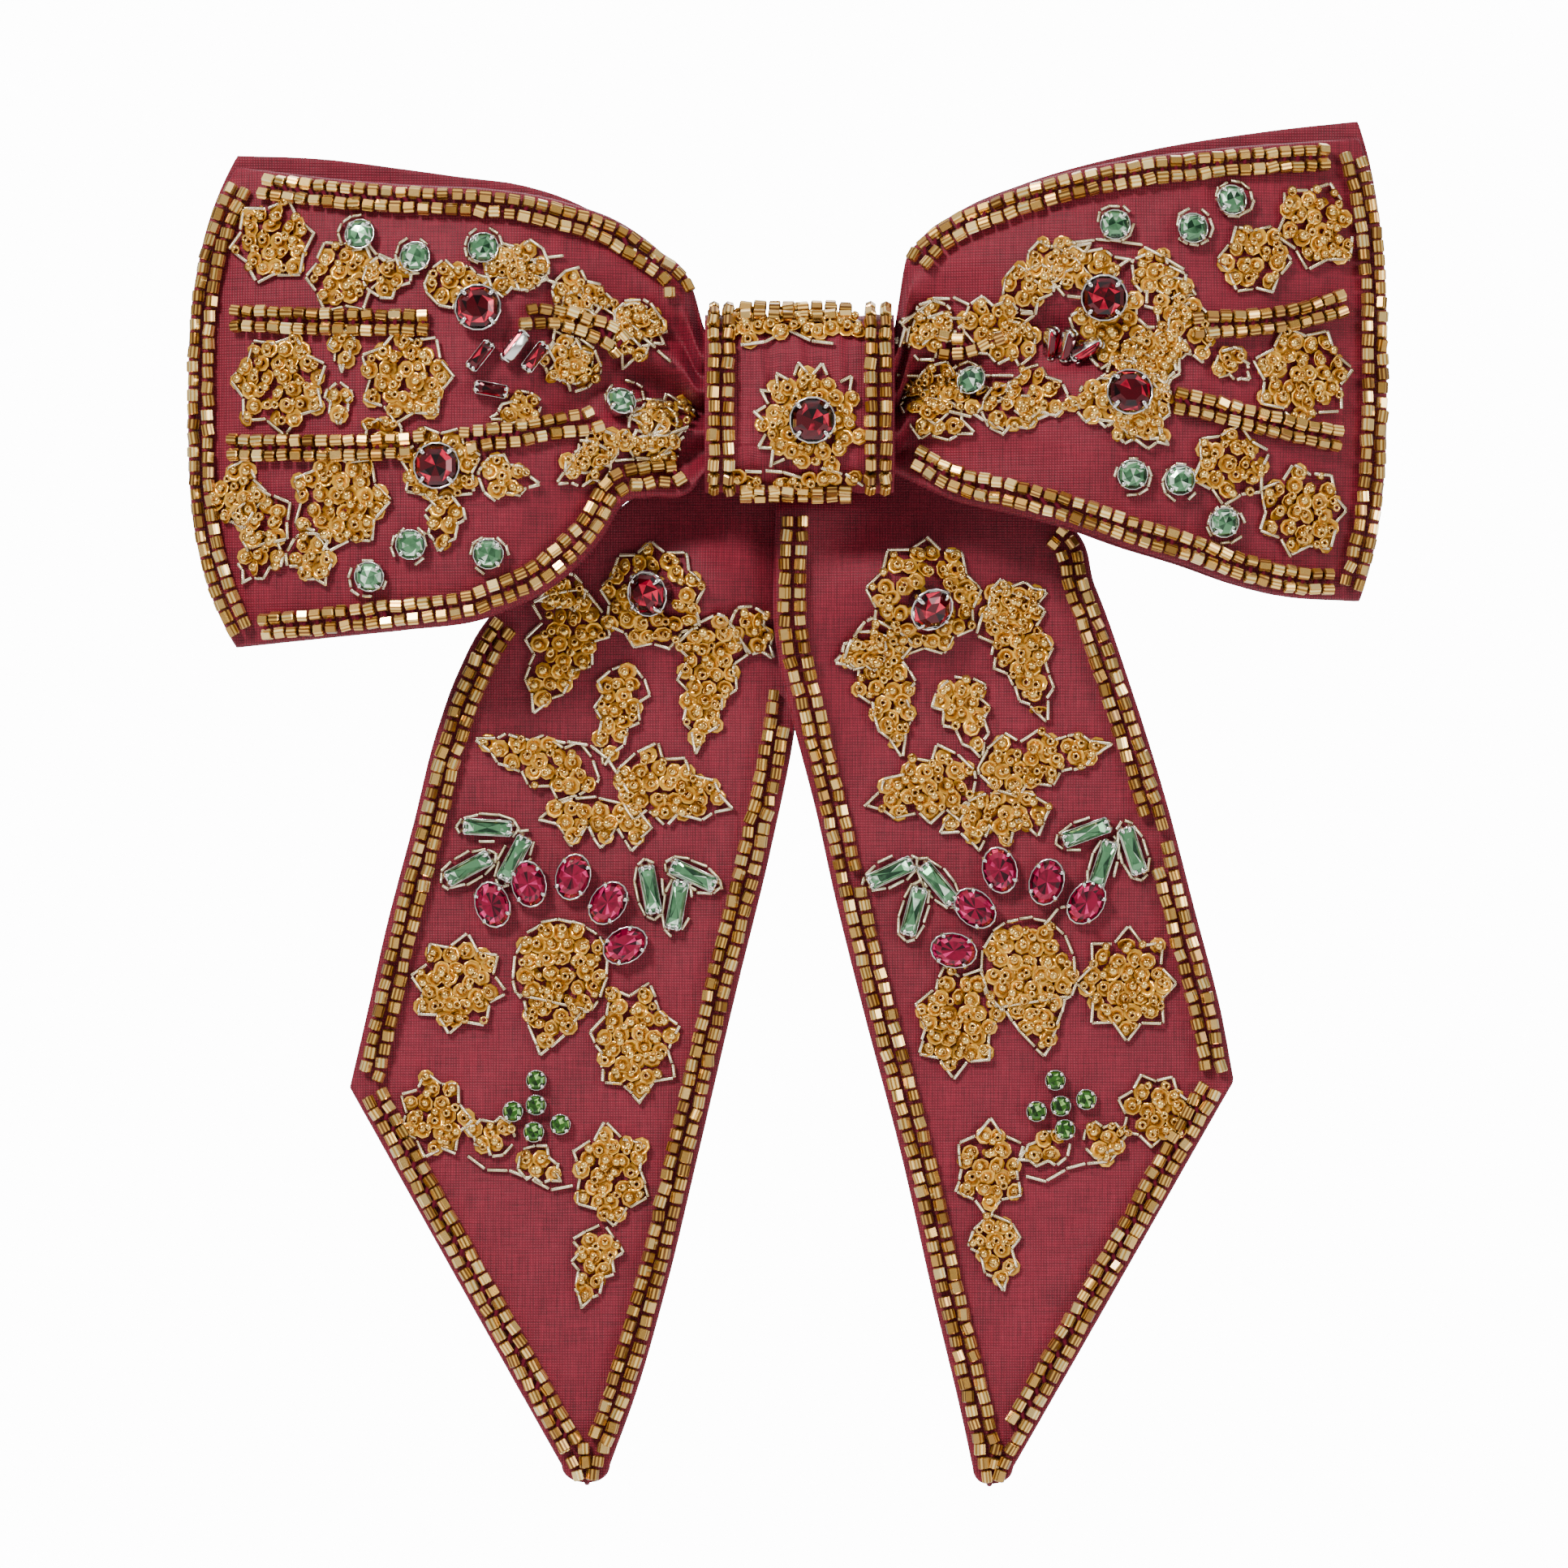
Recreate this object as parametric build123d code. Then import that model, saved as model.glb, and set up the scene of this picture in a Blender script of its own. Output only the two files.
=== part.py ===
from build123d import *
import math
import os

import numpy as np

# A pre-made bow of plain-woven silk: two stuffed-out loops, two pointed tails and a knot band,
# edged with rows of cut gold beads, set with glass stones, and worn on a sprung steel clip.
# Millimetres. X runs to the right, Z up, and the front of the bow faces -Y.
# The origin is behind the middle of the knot, on the clip's grip plane.
# "Depth" is the distance in front of that plane, so a point at depth d has y = -d.

# ---------------------------------------------------------------- driving dimensions
LEFT, RIGHT = -1, 1
SIDE_NAMES = {LEFT: "left", RIGHT: "right"}

loop_reach = {LEFT: 75.5, RIGHT: 75.0}      # centre to a loop's outer corners
loop_rise = {LEFT: 31.8, RIGHT: 35.7}       # knot centre up to the outer top corner
loop_drop = {LEFT: 32.0, RIGHT: 25.8}       # knot centre down to the outer bottom corner
loop_bulge = {LEFT: 6.3, RIGHT: 3.6}        # how far the fold bows out past its corners
back_rise = {LEFT: 33.7, RIGHT: 38.3}       # the plain back panel stands a little higher
tail_length = {LEFT: 145.2, RIGHT: 145.4}
tail_spread = {LEFT: 60.5, RIGHT: 58.5}     # knot centre to a tail's outer corner

cloth = 0.4             # one silk layer with its turned-in seam
stiffener = 0.4         # woven interlining
layer_gap = 0.2         # between layers stitched together
seam_gap = 0.35         # between soft pieces that only touch

knot_width = 25.2
knot_top = 12.0
knot_bottom = -11.6
knot_wall = 1.2
knot_corner = 6.0
knot_back = 4.8         # depth of the knot's back face
knot_front = 20.5       # depth of its front face

waist_depth = 14.6      # front panel where it is gathered inside the knot
crest_depth = 22.0      # front panel at its highest
fold_depth = 10.0       # front panel at the outer fold
crest_place = 0.42      # share of the way from the knot to the fold
crown = 3.0             # how far a panel falls away towards its long edges
back_depth = 8.5        # back panel at the knot and at the fold
back_hollow = 2.2       # how much nearer the clip it lies half way out
pleat = 1.4             # height of the gathers beside the knot
pleats_across = 3.5
waist_fold = 3.0        # depth of the folds pressed in beside the knot
gather_clearance = 1.9  # from the gathered panels' edges to the inside of the knot's band
gather_flare = 0.45     # how much higher they stand where they leave the knot

tail_top_depth = knot_back - 0.3
tail_low_depth = 2.7
tail_top_height = 4.0
tail_puff = 6.0         # the tails billow forward under the knot
tail_lift = 3.8         # the right tail rides over the left along the middle

pad_width, pad_height, pad_thickness = 30.0, 20.0, 1.5
pad_gap = 0.3
thread_ring = 0.4       # build-up of the thread bound round the waist
thread_gap = 0.45       # between the thread and the gathers
thread_width = 6.0
thread_corner = 0.8

bead_diameter = 1.7
bead_length = 1.65
bead_pitch = 1.9
row_pitch = 1.98
edge_inset = 1.15       # from the cloth's edge to the middle of the first row
bead_standoff = 0.22
loop_bead_lift = 0.1    # further off the loops' folds
bead_gap = 0.06         # least gap between two beads
bead_slide = 0.12       # how far a bead slides on when it wouldn't fit
bead_clear = 0.9        # from a stone to the nearest bead

clip_length = 55.0
clip_width = 8.5
clip_sheet = 0.8        # thickness of the fixed jaw
jaw_sheet = 0.6         # thickness of the moving jaw and of both pairs of ears
clip_tip = -28.0        # x of the tips
hinge_x = 12.0
hinge_y = 2.4
pin_radius = 0.8
pin_clearance = 0.06    # radial, in the moving jaw's ears
pin_fixed_clearance = 0.02
pin_head_radius = 1.2
pin_head = 0.5
ear_radius = 2.0
ear_gap = 0.45          # between the fixed and the moving ears
jaw_gap = 0.25          # between the closed tips
spring_wire = 0.5
spring_turns = 4
spring_clearance = 0.3  # between the coil and the pin
tooth_pitch = 2.0
tooth_count = 6

# ---------------------------------------------------------------- outlines
# Loop edges outside the knot: (share of the way from the knot to the fold, share of the rise or
# drop). Inside the knot they run level, at the height that its band leaves room for.
LOOP_TOP = {
    LEFT: [(0.028, 0.48), (0.10, 0.64), (0.17, 0.74), (0.30, 0.833), (0.46, 0.885), (0.63, 0.905),
           (0.76, 0.93), (1, 1)],
    RIGHT: [(0.026, 0.53), (0.053, 0.60), (0.126, 0.70), (0.216, 0.768), (0.28, 0.807),
            (0.452, 0.882), (0.696, 0.944), (0.868, 0.975), (1, 1)],
}
LOOP_BOTTOM = {
    LEFT: [(0.03, 0.345), (0.125, 0.375), (0.178, 0.405), (0.22, 0.54), (0.28, 0.67), (0.34, 0.765),
           (0.40, 0.825), (0.47, 0.88), (0.64, 0.93), (0.735, 0.95), (1, 1)],
    RIGHT: [(0.135, 0.485), (0.255, 0.55), (0.38, 0.63), (0.486, 0.72), (0.62, 0.82), (0.72, 0.907),
            (0.817, 0.97), (1, 1)],
}
BACK_TOP = {
    LEFT: [(0.04, 0.42), (0.10, 0.58), (0.163, 0.69), (0.232, 0.77), (0.304, 0.835), (0.40, 0.89),
           (0.52, 0.92), (0.64, 0.95), (0.832, 0.99), (1, 1)],
    RIGHT: [(0.026, 0.49), (0.053, 0.57), (0.138, 0.68), (0.28, 0.783), (0.52, 0.893),
            (0.796, 0.965), (1, 1)],
}
# Tail edges: (share of the length down from the knot centre, share of the spread).
TAIL_INNER = {
    LEFT: [(0, 0.056), (0.083, 0.056), (0.105, 0.035), (0.14, 0.008), (0.19, 0), (0.24, 0),
           (0.30, 0.017), (0.41, 0.070), (0.54, 0.146), (0.69, 0.23), (0.82, 0.305), (0.92, 0.374),
           (0.984, 0.43)],
    RIGHT: [(0, -0.046), (0.10, -0.048), (0.15, -0.052), (0.21, -0.05), (0.24, -0.038),
            (0.285, -0.012), (0.375, 0.046), (0.45, 0.087), (0.56, 0.155), (0.69, 0.24),
            (0.825, 0.316), (0.94, 0.384), (0.985, 0.408)],
}
TAIL_OUTER = {
    LEFT: [(0.632, 1), (0.56, 0.96), (0.485, 0.92), (0.385, 0.857), (0.30, 0.805), (0.245, 0.757),
           (0.195, 0.69), (0.13, 0.512), (0.069, 0.33), (0.02, 0.231)],
    RIGHT: [(0.625, 1), (0.56, 0.97), (0.465, 0.909), (0.36, 0.840), (0.255, 0.758), (0.164, 0.677),
            (0.105, 0.61), (0.062, 0.40), (0.02, 0.24)],
}
TAIL_TIP = {LEFT: [(1.0, 0.475), (0.994, 0.512)], RIGHT: [(1.0, 0.44), (0.992, 0.478)]}

# Bead rows laid across a loop, as (along, up) shares of the panel.
LOOP_RIBS = {
    LEFT: [[(0.93, 0.69), (0.767, 0.687), (0.60, 0.684)], [(0.47, 0.69), (0.394, 0.684), (0.29, 0.57)],
           [(0.93, 0.414), (0.711, 0.406), (0.512, 0.401), (0.379, 0.365), (0.33, 0.32)]],
    RIGHT: [[(0.93, 0.65), (0.795, 0.60), (0.66, 0.573)], [(0.353, 0.57), (0.29, 0.535), (0.235, 0.56)],
            [(0.93, 0.345), (0.824, 0.362), (0.63, 0.382)]],
}

# ---------------------------------------------------------------- stones
# Places on a loop are (along, up) shares of its panel; on a tail, (across, down) shares.
# The third value turns the stone, in degrees.
ROUND_GARNET = 5.6
ROUND_GREEN = 3.7
ROUND_OLIVE = 2.5
OVAL_RUBY = (5.8, 4.3)
BAGUETTE_GREEN = (6.0, 2.0)
BAGUETTE_GARNET = (4.0, 1.6)

LOOP_GARNETS = {LEFT: [(0.523, 0.714, 0), (0.586, 0.354, 20)],
                RIGHT: [(0.515, 0.644, 30), (0.553, 0.381, 60)]}
LOOP_BARS = {LEFT: [(0.521, 0.606, 52), (0.480, 0.592, 52), (0.437, 0.592, 52), (0.50, 0.528, -10)],
             RIGHT: [(0.437, 0.575, 75), (0.472, 0.560, 68), (0.513, 0.524, 30)]}
LOOP_GREENS = {LEFT: [(0.735, 0.882, 0), (0.635, 0.835, 0), (0.527, 0.858, 0), (0.297, 0.335, 0),
                      (0.64, 0.184, 0), (0.719, 0.120, 0), (0.521, 0.130, 0)],
               RIGHT: [(0.538, 0.832, 0), (0.667, 0.811, 0), (0.74, 0.876, 0), (0.567, 0.179, 0),
                       (0.646, 0.191, 0), (0.728, 0.120, 0), (0.30, 0.395, 0)]}
TAIL_GARNETS = {LEFT: [(0.507, 0.17, 0)], RIGHT: [(0.459, 0.181, 0)]}
TAIL_RUBIES = {LEFT: [(0.699, 0.464, 105), (0.613, 0.445, 98), (0.50, 0.442, 70), (0.391, 0.468, 50),
                      (0.326, 0.508, 25)],
               RIGHT: [(0.501, 0.432, 100), (0.616, 0.446, 70), (0.41, 0.462, 135), (0.703, 0.467, 50),
                       (0.316, 0.497, 165)]}
TAIL_BARS = {LEFT: [(0.797, 0.389, -3), (0.811, 0.423, 28), (0.70, 0.418, 62), (0.30, 0.447, 100),
                    (0.190, 0.434, -25), (0.209, 0.468, 80)],
             RIGHT: [(0.165, 0.431, 25), (0.294, 0.441, -50), (0.205, 0.467, 75), (0.752, 0.393, 20),
                     (0.777, 0.423, 72), (0.872, 0.410, -72)]}
TAIL_OLIVES = {LEFT: [(0.491, 0.625, 0), (0.565, 0.654, 0), (0.495, 0.648, 0), (0.515, 0.673, 0),
                      (0.430, 0.666, 0)],
               RIGHT: [(0.491, 0.624, 0), (0.445, 0.653, 0), (0.518, 0.648, 0), (0.592, 0.642, 0),
                       (0.545, 0.670, 0)]}
KNOT_GARNET = (1.7, -2.5)


# ---------------------------------------------------------------- curves and cloth surfaces
def smooth_line(points, at):
    """Height of the smooth line through (place, height) points, at the places given."""
    places, heights = np.array(points, float).T
    slopes = np.gradient(heights, places)
    span = np.clip(np.searchsorted(places, at) - 1, 0, len(places) - 2)
    length = places[span + 1] - places[span]
    w = (np.asarray(at, float) - places[span]) / length
    return ((2 * w**3 - 3 * w**2 + 1) * heights[span] + (w**3 - 2 * w**2 + w) * length * slopes[span]
            + (3 * w**2 - 2 * w**3) * heights[span + 1] + (w**3 - w**2) * length * slopes[span + 1])


def ease(share):
    """Smooth step from 0 to 1."""
    share = np.clip(share, 0, 1)
    return share * share * (3 - 2 * share)


def bump(value, centre, width):
    """Bell curve of height 1."""
    return np.exp(-((value - centre) / width) ** 2)


def outwards(side, along):
    """Share of the way from the knot's edge to the fold; negative inside the knot."""
    start = knot_width / 2 / loop_reach[side]
    return (along - start) / (1 - start)


def past_knot(side, along):
    """The same share, held at 0 inside the knot."""
    return np.clip(outwards(side, along), 0, 1)


def long_edge(table, height, gather, out):
    """Height of a long edge: level at the gather inside the knot, then out along its table."""
    level = gather / height
    points = [(-0.3, level), (-0.03, level), (0, level + gather_flare / height)] + table
    return height * smooth_line(points, out)


def loop_edges(side, along, back=False):
    """Z of a loop's lower and upper edge."""
    out = outwards(side, along)
    room = knot_wall + gather_clearance
    bottom = -long_edge(LOOP_BOTTOM[side], loop_drop[side], -knot_bottom - room, out)
    if back:
        top = long_edge(BACK_TOP[side], back_rise[side], knot_top - room, out)
    else:
        top = long_edge(LOOP_TOP[side], loop_rise[side], knot_top - room, out)
    return bottom, top


def reach_at(side, up):
    """Reach of the fold at a share of the panel's height."""
    return loop_reach[side] + loop_bulge[side] * (1 - np.abs(2 * up - 1) ** 3)


def loop_place(side, along, up, back=False):
    """X and Z on a loop: a sheet ruled between its two long edges, bowed out at the fold."""
    bottom, top = loop_edges(side, along, back)
    return side * along * reach_at(side, up), bottom + (top - bottom) * up


def loop_shares(side, x, z):
    """The (along, up) shares of the front panel's point at x and z."""
    up = np.full(np.shape(x), 0.5)
    for _ in range(50):
        along = np.abs(x) / reach_at(side, up)
        bottom, top = loop_edges(side, along)
        up = (up + np.clip((z - bottom) / (top - bottom), -0.1, 1.1)) / 2
    return along, up


def loop_front_depth(side, along, up):
    """A swell from the gathered waist to a crest, then a fall to the fold, with gathers."""
    out = past_knot(side, along)
    rise = waist_depth + (crest_depth - waist_depth) * ease(out / crest_place)
    fall = crest_depth - (crest_depth - fold_depth) * ((out - crest_place) / (1 - crest_place)) ** 2
    depth = np.where(out < crest_place, rise, fall)
    depth = depth - crown * (2 * up - 1) ** 2 * np.sin(math.pi * out)
    gathers = np.exp(-out / 0.16) * np.cos(2 * math.pi * pleats_across * up)
    depth = depth + pleat * gathers
    if side == LEFT:
        depth = depth - waist_fold * bump(up, 0.46, 0.10) * bump(out, 0, 0.30)
    else:
        depth = depth - 1.3 * waist_fold * bump(up, 0.62 - 0.25 * out, 0.09) * bump(out, 0.30, 0.22)
        depth = depth - 0.6 * waist_fold * bump(up, 0.46, 0.10) * bump(out, 0, 0.20)
    return depth


def loop_back_depth(side, along, up):
    """Nearly flat, a little hollow half way out."""
    return back_depth - back_hollow * np.sin(math.pi * past_knot(side, along)) ** 2 + 0 * up


def tail_edge(side, table, down):
    """X of a tail's edge at a share of its length."""
    line = sorted(table[side])
    return side * tail_spread[side] * smooth_line(line, down)


def tail_depth(side, x, z):
    """Flat behind the knot, billowing forward under it, then hanging almost flat."""
    settle = ease(-(z + 12) / 30)
    depth = tail_top_depth + (tail_low_depth - tail_top_depth) * settle
    depth = depth + tail_puff * bump(x, side * 13, 8.5) * bump(z, -24, 7)
    depth = depth + 0.7 * settle * np.sin(z / 17 + 0.3 * side) * np.cos(x / 14)
    if side == RIGHT:
        over = ease(-(z + 9) / 5) * ease((z + 54) / 14)
        depth = depth + tail_lift * bump(x, -2, 8) * over
    return depth


def tail_place(side, across, down):
    """X and Z on a tail: level lines between its inner and its outer edge."""
    inner = tail_edge(side, TAIL_INNER, down)
    corner, tip = TAIL_OUTER[side][0], TAIL_TIP[side][1]
    slant = corner[1] + (tip[1] - corner[1]) * (down - corner[0]) / (tip[0] - corner[0])
    outer = np.where(down < corner[0], tail_edge(side, TAIL_OUTER, np.minimum(down, corner[0])),
                     side * tail_spread[side] * slant)
    return inner + (outer - inner) * across, -tail_length[side] * down


def loop_depth_at(side):
    """Depth of a loop's front panel as a function of x and z."""
    return lambda x, z: loop_front_depth(side, *loop_shares(side, x, z))


def tail_depth_at(side):
    """Depth of a tail's face as a function of x and z."""
    return lambda x, z: tail_depth(side, x, z)


def sheet(x, z, depth, thickness):
    """A cloth sheet: the surface through a grid of points, thickened towards the back."""
    points = [[Vector(*p) for p in row] for row in np.dstack([x, -depth, z])]
    face = Face.make_surface_from_array_of_points(points, tol=0.01)
    return Solid.extrude(face, Vector(0, thickness, 0))


def shifted(solid, back):
    """A copy moved straight back."""
    return solid.moved(Location((0, back, 0)))


def save(name, solids):
    """Write one node, a single solid or a group of separate ones."""
    solids = solids if isinstance(solids, list) else [solids]
    shape = solids[0] if len(solids) == 1 else Compound(children=solids)
    export_step(shape, f"parts/{name}.step")


# ---------------------------------------------------------------- loops
def loop_grid(side, back=False):
    """Grid of places on a loop, from just off the centre out to the fold."""
    places = np.concatenate([np.linspace(0.007, 0.26, 20), np.linspace(0.29, 1, 24)])
    along, up = np.meshgrid(places, np.linspace(0, 1, 19), indexing="ij")
    return along, up, *loop_place(side, along, up, back)


def make_loop(side):
    """Front panel, its stiffener, and the plain back panel."""
    name = SIDE_NAMES[side]
    along, up, x, z = loop_grid(side)
    front = sheet(x, z, loop_front_depth(side, along, up), cloth)
    save(f"{name}_loop_front_panel", front)
    save(f"{name}_loop_stiffener", shifted(front, cloth + layer_gap))
    along, up, x, z = loop_grid(side, back=True)
    save(f"{name}_loop_back_panel", sheet(x, z, loop_back_depth(side, along, up), cloth))


# ---------------------------------------------------------------- tails
def tail_outline(side):
    """Closed outline of a tail in the XZ plane: two drawn edges, a slanted end and a round tip."""
    def spot(down, out):
        return (side * tail_spread[side] * out, -tail_length[side] * down)

    inner = [spot(*p) for p in TAIL_INNER[side]]
    outer = [spot(*p) for p in TAIL_OUTER[side]]
    tip = [spot(*p) for p in TAIL_TIP[side]]
    inner[0] = (inner[0][0], tail_top_height)
    head = (outer[-1][0], tail_top_height)
    edges = [Spline(*inner), ThreePointArc(inner[-1], tip[0], tip[1]), Line(tip[1], outer[0]),
             Spline(*outer), Line(outer[-1], head), Line(head, inner[0])]
    return Plane.XZ * make_face(edges)


def make_tail(side):
    """Embroidered face, stiffener and lining, all cut to one outline."""
    name = SIDE_NAMES[side]
    reach = side * tail_spread[side]
    drop = tail_length[side]
    levels = np.concatenate([np.linspace(tail_top_height + 1, -0.41 * drop, 40),
                             np.linspace(-0.43 * drop, -drop - 3, 24)])
    x, z = np.meshgrid(np.linspace(-0.12 * reach, 1.06 * reach, 21), levels, indexing="ij")
    slab = sheet(x, z, tail_depth(side, x, z), cloth)
    cutter = extrude(tail_outline(side), amount=crest_depth, both=True)
    face = (slab & cutter).solids()[0]
    save(f"{name}_tail_face", face)
    save(f"{name}_tail_stiffener", shifted(face, cloth + layer_gap))
    save(f"{name}_tail_lining", shifted(face, cloth + stiffener + 2 * layer_gap))


# ---------------------------------------------------------------- knot, waist and pad
def knot_profile(inset):
    """Rounded section of the knot in the YZ plane, drawn in by the inset."""
    depth = knot_front - knot_back - 2 * inset
    height = knot_top - knot_bottom - 2 * inset
    middle = (-(knot_front + knot_back) / 2, (knot_top + knot_bottom) / 2)
    return Plane.YZ * Pos(*middle) * RectangleRounded(depth, height, knot_corner - inset)


def ring_profile(front, back, top, bottom, corner):
    """Rounded rectangle in the YZ plane between two depths and two heights."""
    middle = (-(front + back) / 2, (top + bottom) / 2)
    return Plane.YZ * Pos(*middle) * RectangleRounded(front - back, top - bottom, corner)


def make_knot():
    """Band, the pad under its front, and the thread that binds the gathered waist."""
    band = extrude(knot_profile(0) - knot_profile(knot_wall), amount=knot_width / 2, both=True)
    save("knot_band", band.solids()[0])
    front = waist_depth + pleat + thread_gap
    back = back_depth - cloth - thread_gap
    top = knot_top - knot_wall - gather_clearance + thread_gap
    bottom = knot_bottom + knot_wall + gather_clearance - thread_gap
    inner = ring_profile(front, back, top, bottom, thread_corner)
    outer = ring_profile(front + thread_ring, back - thread_ring, top + thread_ring,
                         bottom - thread_ring, thread_corner + thread_ring)
    save("waist_binding_thread", extrude(outer - inner, amount=thread_width / 2, both=True).solids()[0])
    pad_back = front + thread_ring + seam_gap
    pad_front = knot_front - knot_wall - seam_gap
    pad = Plane.XZ * RectangleRounded(knot_width - 3, knot_top - knot_bottom - 2 * knot_corner + 3, 2.5)
    pad = extrude(pad.moved(Location((0, -pad_back, 0))), amount=pad_front - pad_back)
    save("knot_padding", pad.solids()[0])


def make_back_pad():
    """Felt pad between the tail tops and the clip."""
    far = tail_top_depth - 2 * cloth - stiffener - 2 * layer_gap - pad_gap
    pad = extrude(Plane.XZ * RectangleRounded(pad_width, pad_height, 3), amount=pad_thickness)
    save("back_pad", pad.moved(Location((0, -(far - pad_thickness), 0))).solids()[0])


# ---------------------------------------------------------------- clip
def fixed_ear_z():
    """Inner face of the fixed ears."""
    return clip_width / 2 - jaw_sheet


def moving_ear_z():
    """Outer face of the moving ears."""
    return fixed_ear_z() - ear_gap


def side_plate(outline, near, far):
    """A plate drawn in the XY plane, between two heights."""
    return extrude(Pos(0, 0, near) * outline, amount=far - near)


def ear_outline(base, hole):
    """Round ear about the hinge, carried down or up to its plate at y = base, with a hole."""
    web = Pos(hinge_x, (hinge_y + base) / 2) * Rectangle(2 * ear_radius, abs(hinge_y - base))
    return (Pos(hinge_x, hinge_y) * Circle(ear_radius)) + web - Pos(hinge_x, hinge_y) * Circle(hole)


def make_fixed_jaw():
    """Flat strip with a rounded tip and two upright ears."""
    strip = Plane.XZ * (Pos(clip_tip + clip_length / 2, 0) * RectangleRounded(clip_length, clip_width, 2))
    jaw = extrude(strip, amount=clip_sheet)
    ear = ear_outline(0, pin_radius + pin_fixed_clearance)
    for near in (fixed_ear_z(), -clip_width / 2):
        jaw += side_plate(ear, near, near + jaw_sheet)
    save("clip_fixed_jaw", jaw.solids()[0])


def jaw_path():
    """Centre line of the moving jaw's strip: tip, crest over the hinge, heel, thumb tail."""
    over = hinge_y + ear_radius + 0.2
    return [(clip_tip, jaw_gap + 0.7), (hinge_x - 4, over - 0.2), (hinge_x + 3, over),
            (clip_tip + clip_length - 0.5, over + 4.3)]


def make_moving_jaw():
    """Bent strip with a toothed skirt at the tip, a thumb tail, and two ears on the pin."""
    path = FilletPolyline(*jaw_path(), radius=3.0)
    band = make_face(offset(path, amount=jaw_sheet / 2, side=Side.BOTH).edges())
    half = moving_ear_z()
    jaw = side_plate(band, -half, half)
    ear = ear_outline(hinge_y + ear_radius + 0.1, pin_radius + pin_clearance)
    (tip_x, tip_y), (top_x, top_y) = jaw_path()[:2]
    slope = (top_y - tip_y) / (top_x - tip_x)
    teeth = [(tip_x, tip_y)]
    for i in range(tooth_count):
        left = tip_x + i * tooth_pitch
        teeth += [(left, jaw_gap + slope * (left - tip_x)),
                  (left + tooth_pitch / 2, jaw_gap + slope * (left - tip_x) + 0.5)]
    end = tip_x + tooth_count * tooth_pitch
    teeth += [(end, jaw_gap + slope * (end - tip_x)), (end + 1, tip_y + slope * (end + 1 - tip_x))]
    skirt = make_face(Polyline(*teeth, close=True))
    for near in (half - jaw_sheet, -half):
        jaw += side_plate(ear, near, near + jaw_sheet)
        jaw += side_plate(skirt, near, near + jaw_sheet)
    save("clip_moving_jaw", jaw.solids()[0])


def make_pin_and_spring():
    """Headed pin through the four ears, and the coil spring wound on it."""
    shank = clip_width + 2 * pin_clearance
    pin = Cylinder(pin_radius, shank)
    for end in (-1, 1):
        pin += Pos(0, 0, end * (shank + pin_head) / 2) * Cylinder(pin_head_radius, pin_head)
    save("clip_hinge_pin", (Pos(hinge_x, hinge_y) * pin).solids()[0])
    radius = pin_radius + spring_clearance + spring_wire / 2
    pitch = spring_wire + 0.2
    height = spring_turns * pitch
    helix = Helix(pitch, height, radius)
    wire = sweep(Plane(origin=helix @ 0, z_dir=helix % 0) * Circle(spring_wire / 2), helix)
    spring = Pos(hinge_x, hinge_y, -height / 2) * wire
    save("clip_spring", spring.solids()[0])


# ---------------------------------------------------------------- beads
def surface_frame(depth_at, x, z):
    """Points on a depth surface and the unit normals that point out of its front."""
    step = 0.05
    slope_x = (depth_at(x + step, z) - depth_at(x - step, z)) / (2 * step)
    slope_z = (depth_at(x, z + step) - depth_at(x, z - step)) / (2 * step)
    normal = np.stack([-slope_x, -np.ones_like(x), -slope_z], axis=1)
    normal /= np.linalg.norm(normal, axis=1, keepdims=True)
    return np.stack([x, -depth_at(x, z), z], axis=1), normal


def inset_line(x, z, inset, inwards):
    """A line drawn in by the inset, square to itself, on the side of the inwards point."""
    tangent = np.gradient(np.stack([x, z], axis=1), axis=0)
    tangent /= np.linalg.norm(tangent, axis=1, keepdims=True)
    normal = np.stack([-tangent[:, 1], tangent[:, 0]], axis=1)
    towards = np.array(inwards) - np.stack([x, z], axis=1)
    normal *= np.sign((normal * towards).sum(axis=1, keepdims=True))
    return x + inset * normal[:, 0], z + inset * normal[:, 1]


def bead(centre, along):
    """One cut bead, its axis along the thread."""
    start = Vector(*centre) - Vector(*along) * bead_length / 2
    return Solid.make_cylinder(bead_diameter / 2, bead_length, Plane(origin=start, z_dir=Vector(*along)))


def apart(spot, axis, other, other_axis):
    """Whether a plane fits between two beads, tried square to five likely directions."""
    away = other - spot
    across = (away - (away @ axis) * axis, away - (away @ other_axis) * other_axis)
    for direction in (away, axis, other_axis, *across):
        size = np.linalg.norm(direction)
        if size > 1e-6:
            direction = direction / size
            lean = np.abs([axis @ direction, other_axis @ direction]).clip(0, 1)
            reach = bead_length / 2 * lean + bead_diameter / 2 * np.sqrt(1 - lean**2)
            if abs(away @ direction) > reach.sum() + bead_gap:
                return True
    return False


def string_beads(points, placed, kept_clear=()):
    """Beads a pitch apart along a line of bead centres; each slides on until it clears the others.

    kept_clear holds the (x, z, radius) of stones that stand in the row's way.
    """
    steps = np.linalg.norm(np.diff(points, axis=0), axis=1)
    travel = np.concatenate([[0], np.cumsum(steps)])

    def on_line(at):
        return np.array([np.interp(at, travel, points[:, i]) for i in range(3)])

    beads = []
    at = bead_length / 2
    while at < travel[-1] - bead_length / 2:
        spot = on_line(at)
        axis = on_line(at + bead_length / 2) - on_line(at - bead_length / 2)
        axis /= np.linalg.norm(axis)
        free = all(math.hypot(spot[0] - x, spot[2] - z) > radius for x, z, radius in kept_clear)
        near = [p for p in placed if np.linalg.norm(p[0] - spot) < bead_length + bead_diameter]
        if free and all(apart(spot, axis, *p) for p in near):
            placed.append((spot, axis))
            beads.append(bead(spot, axis))
            at += bead_pitch
        else:
            at += bead_slide
    return beads


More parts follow.
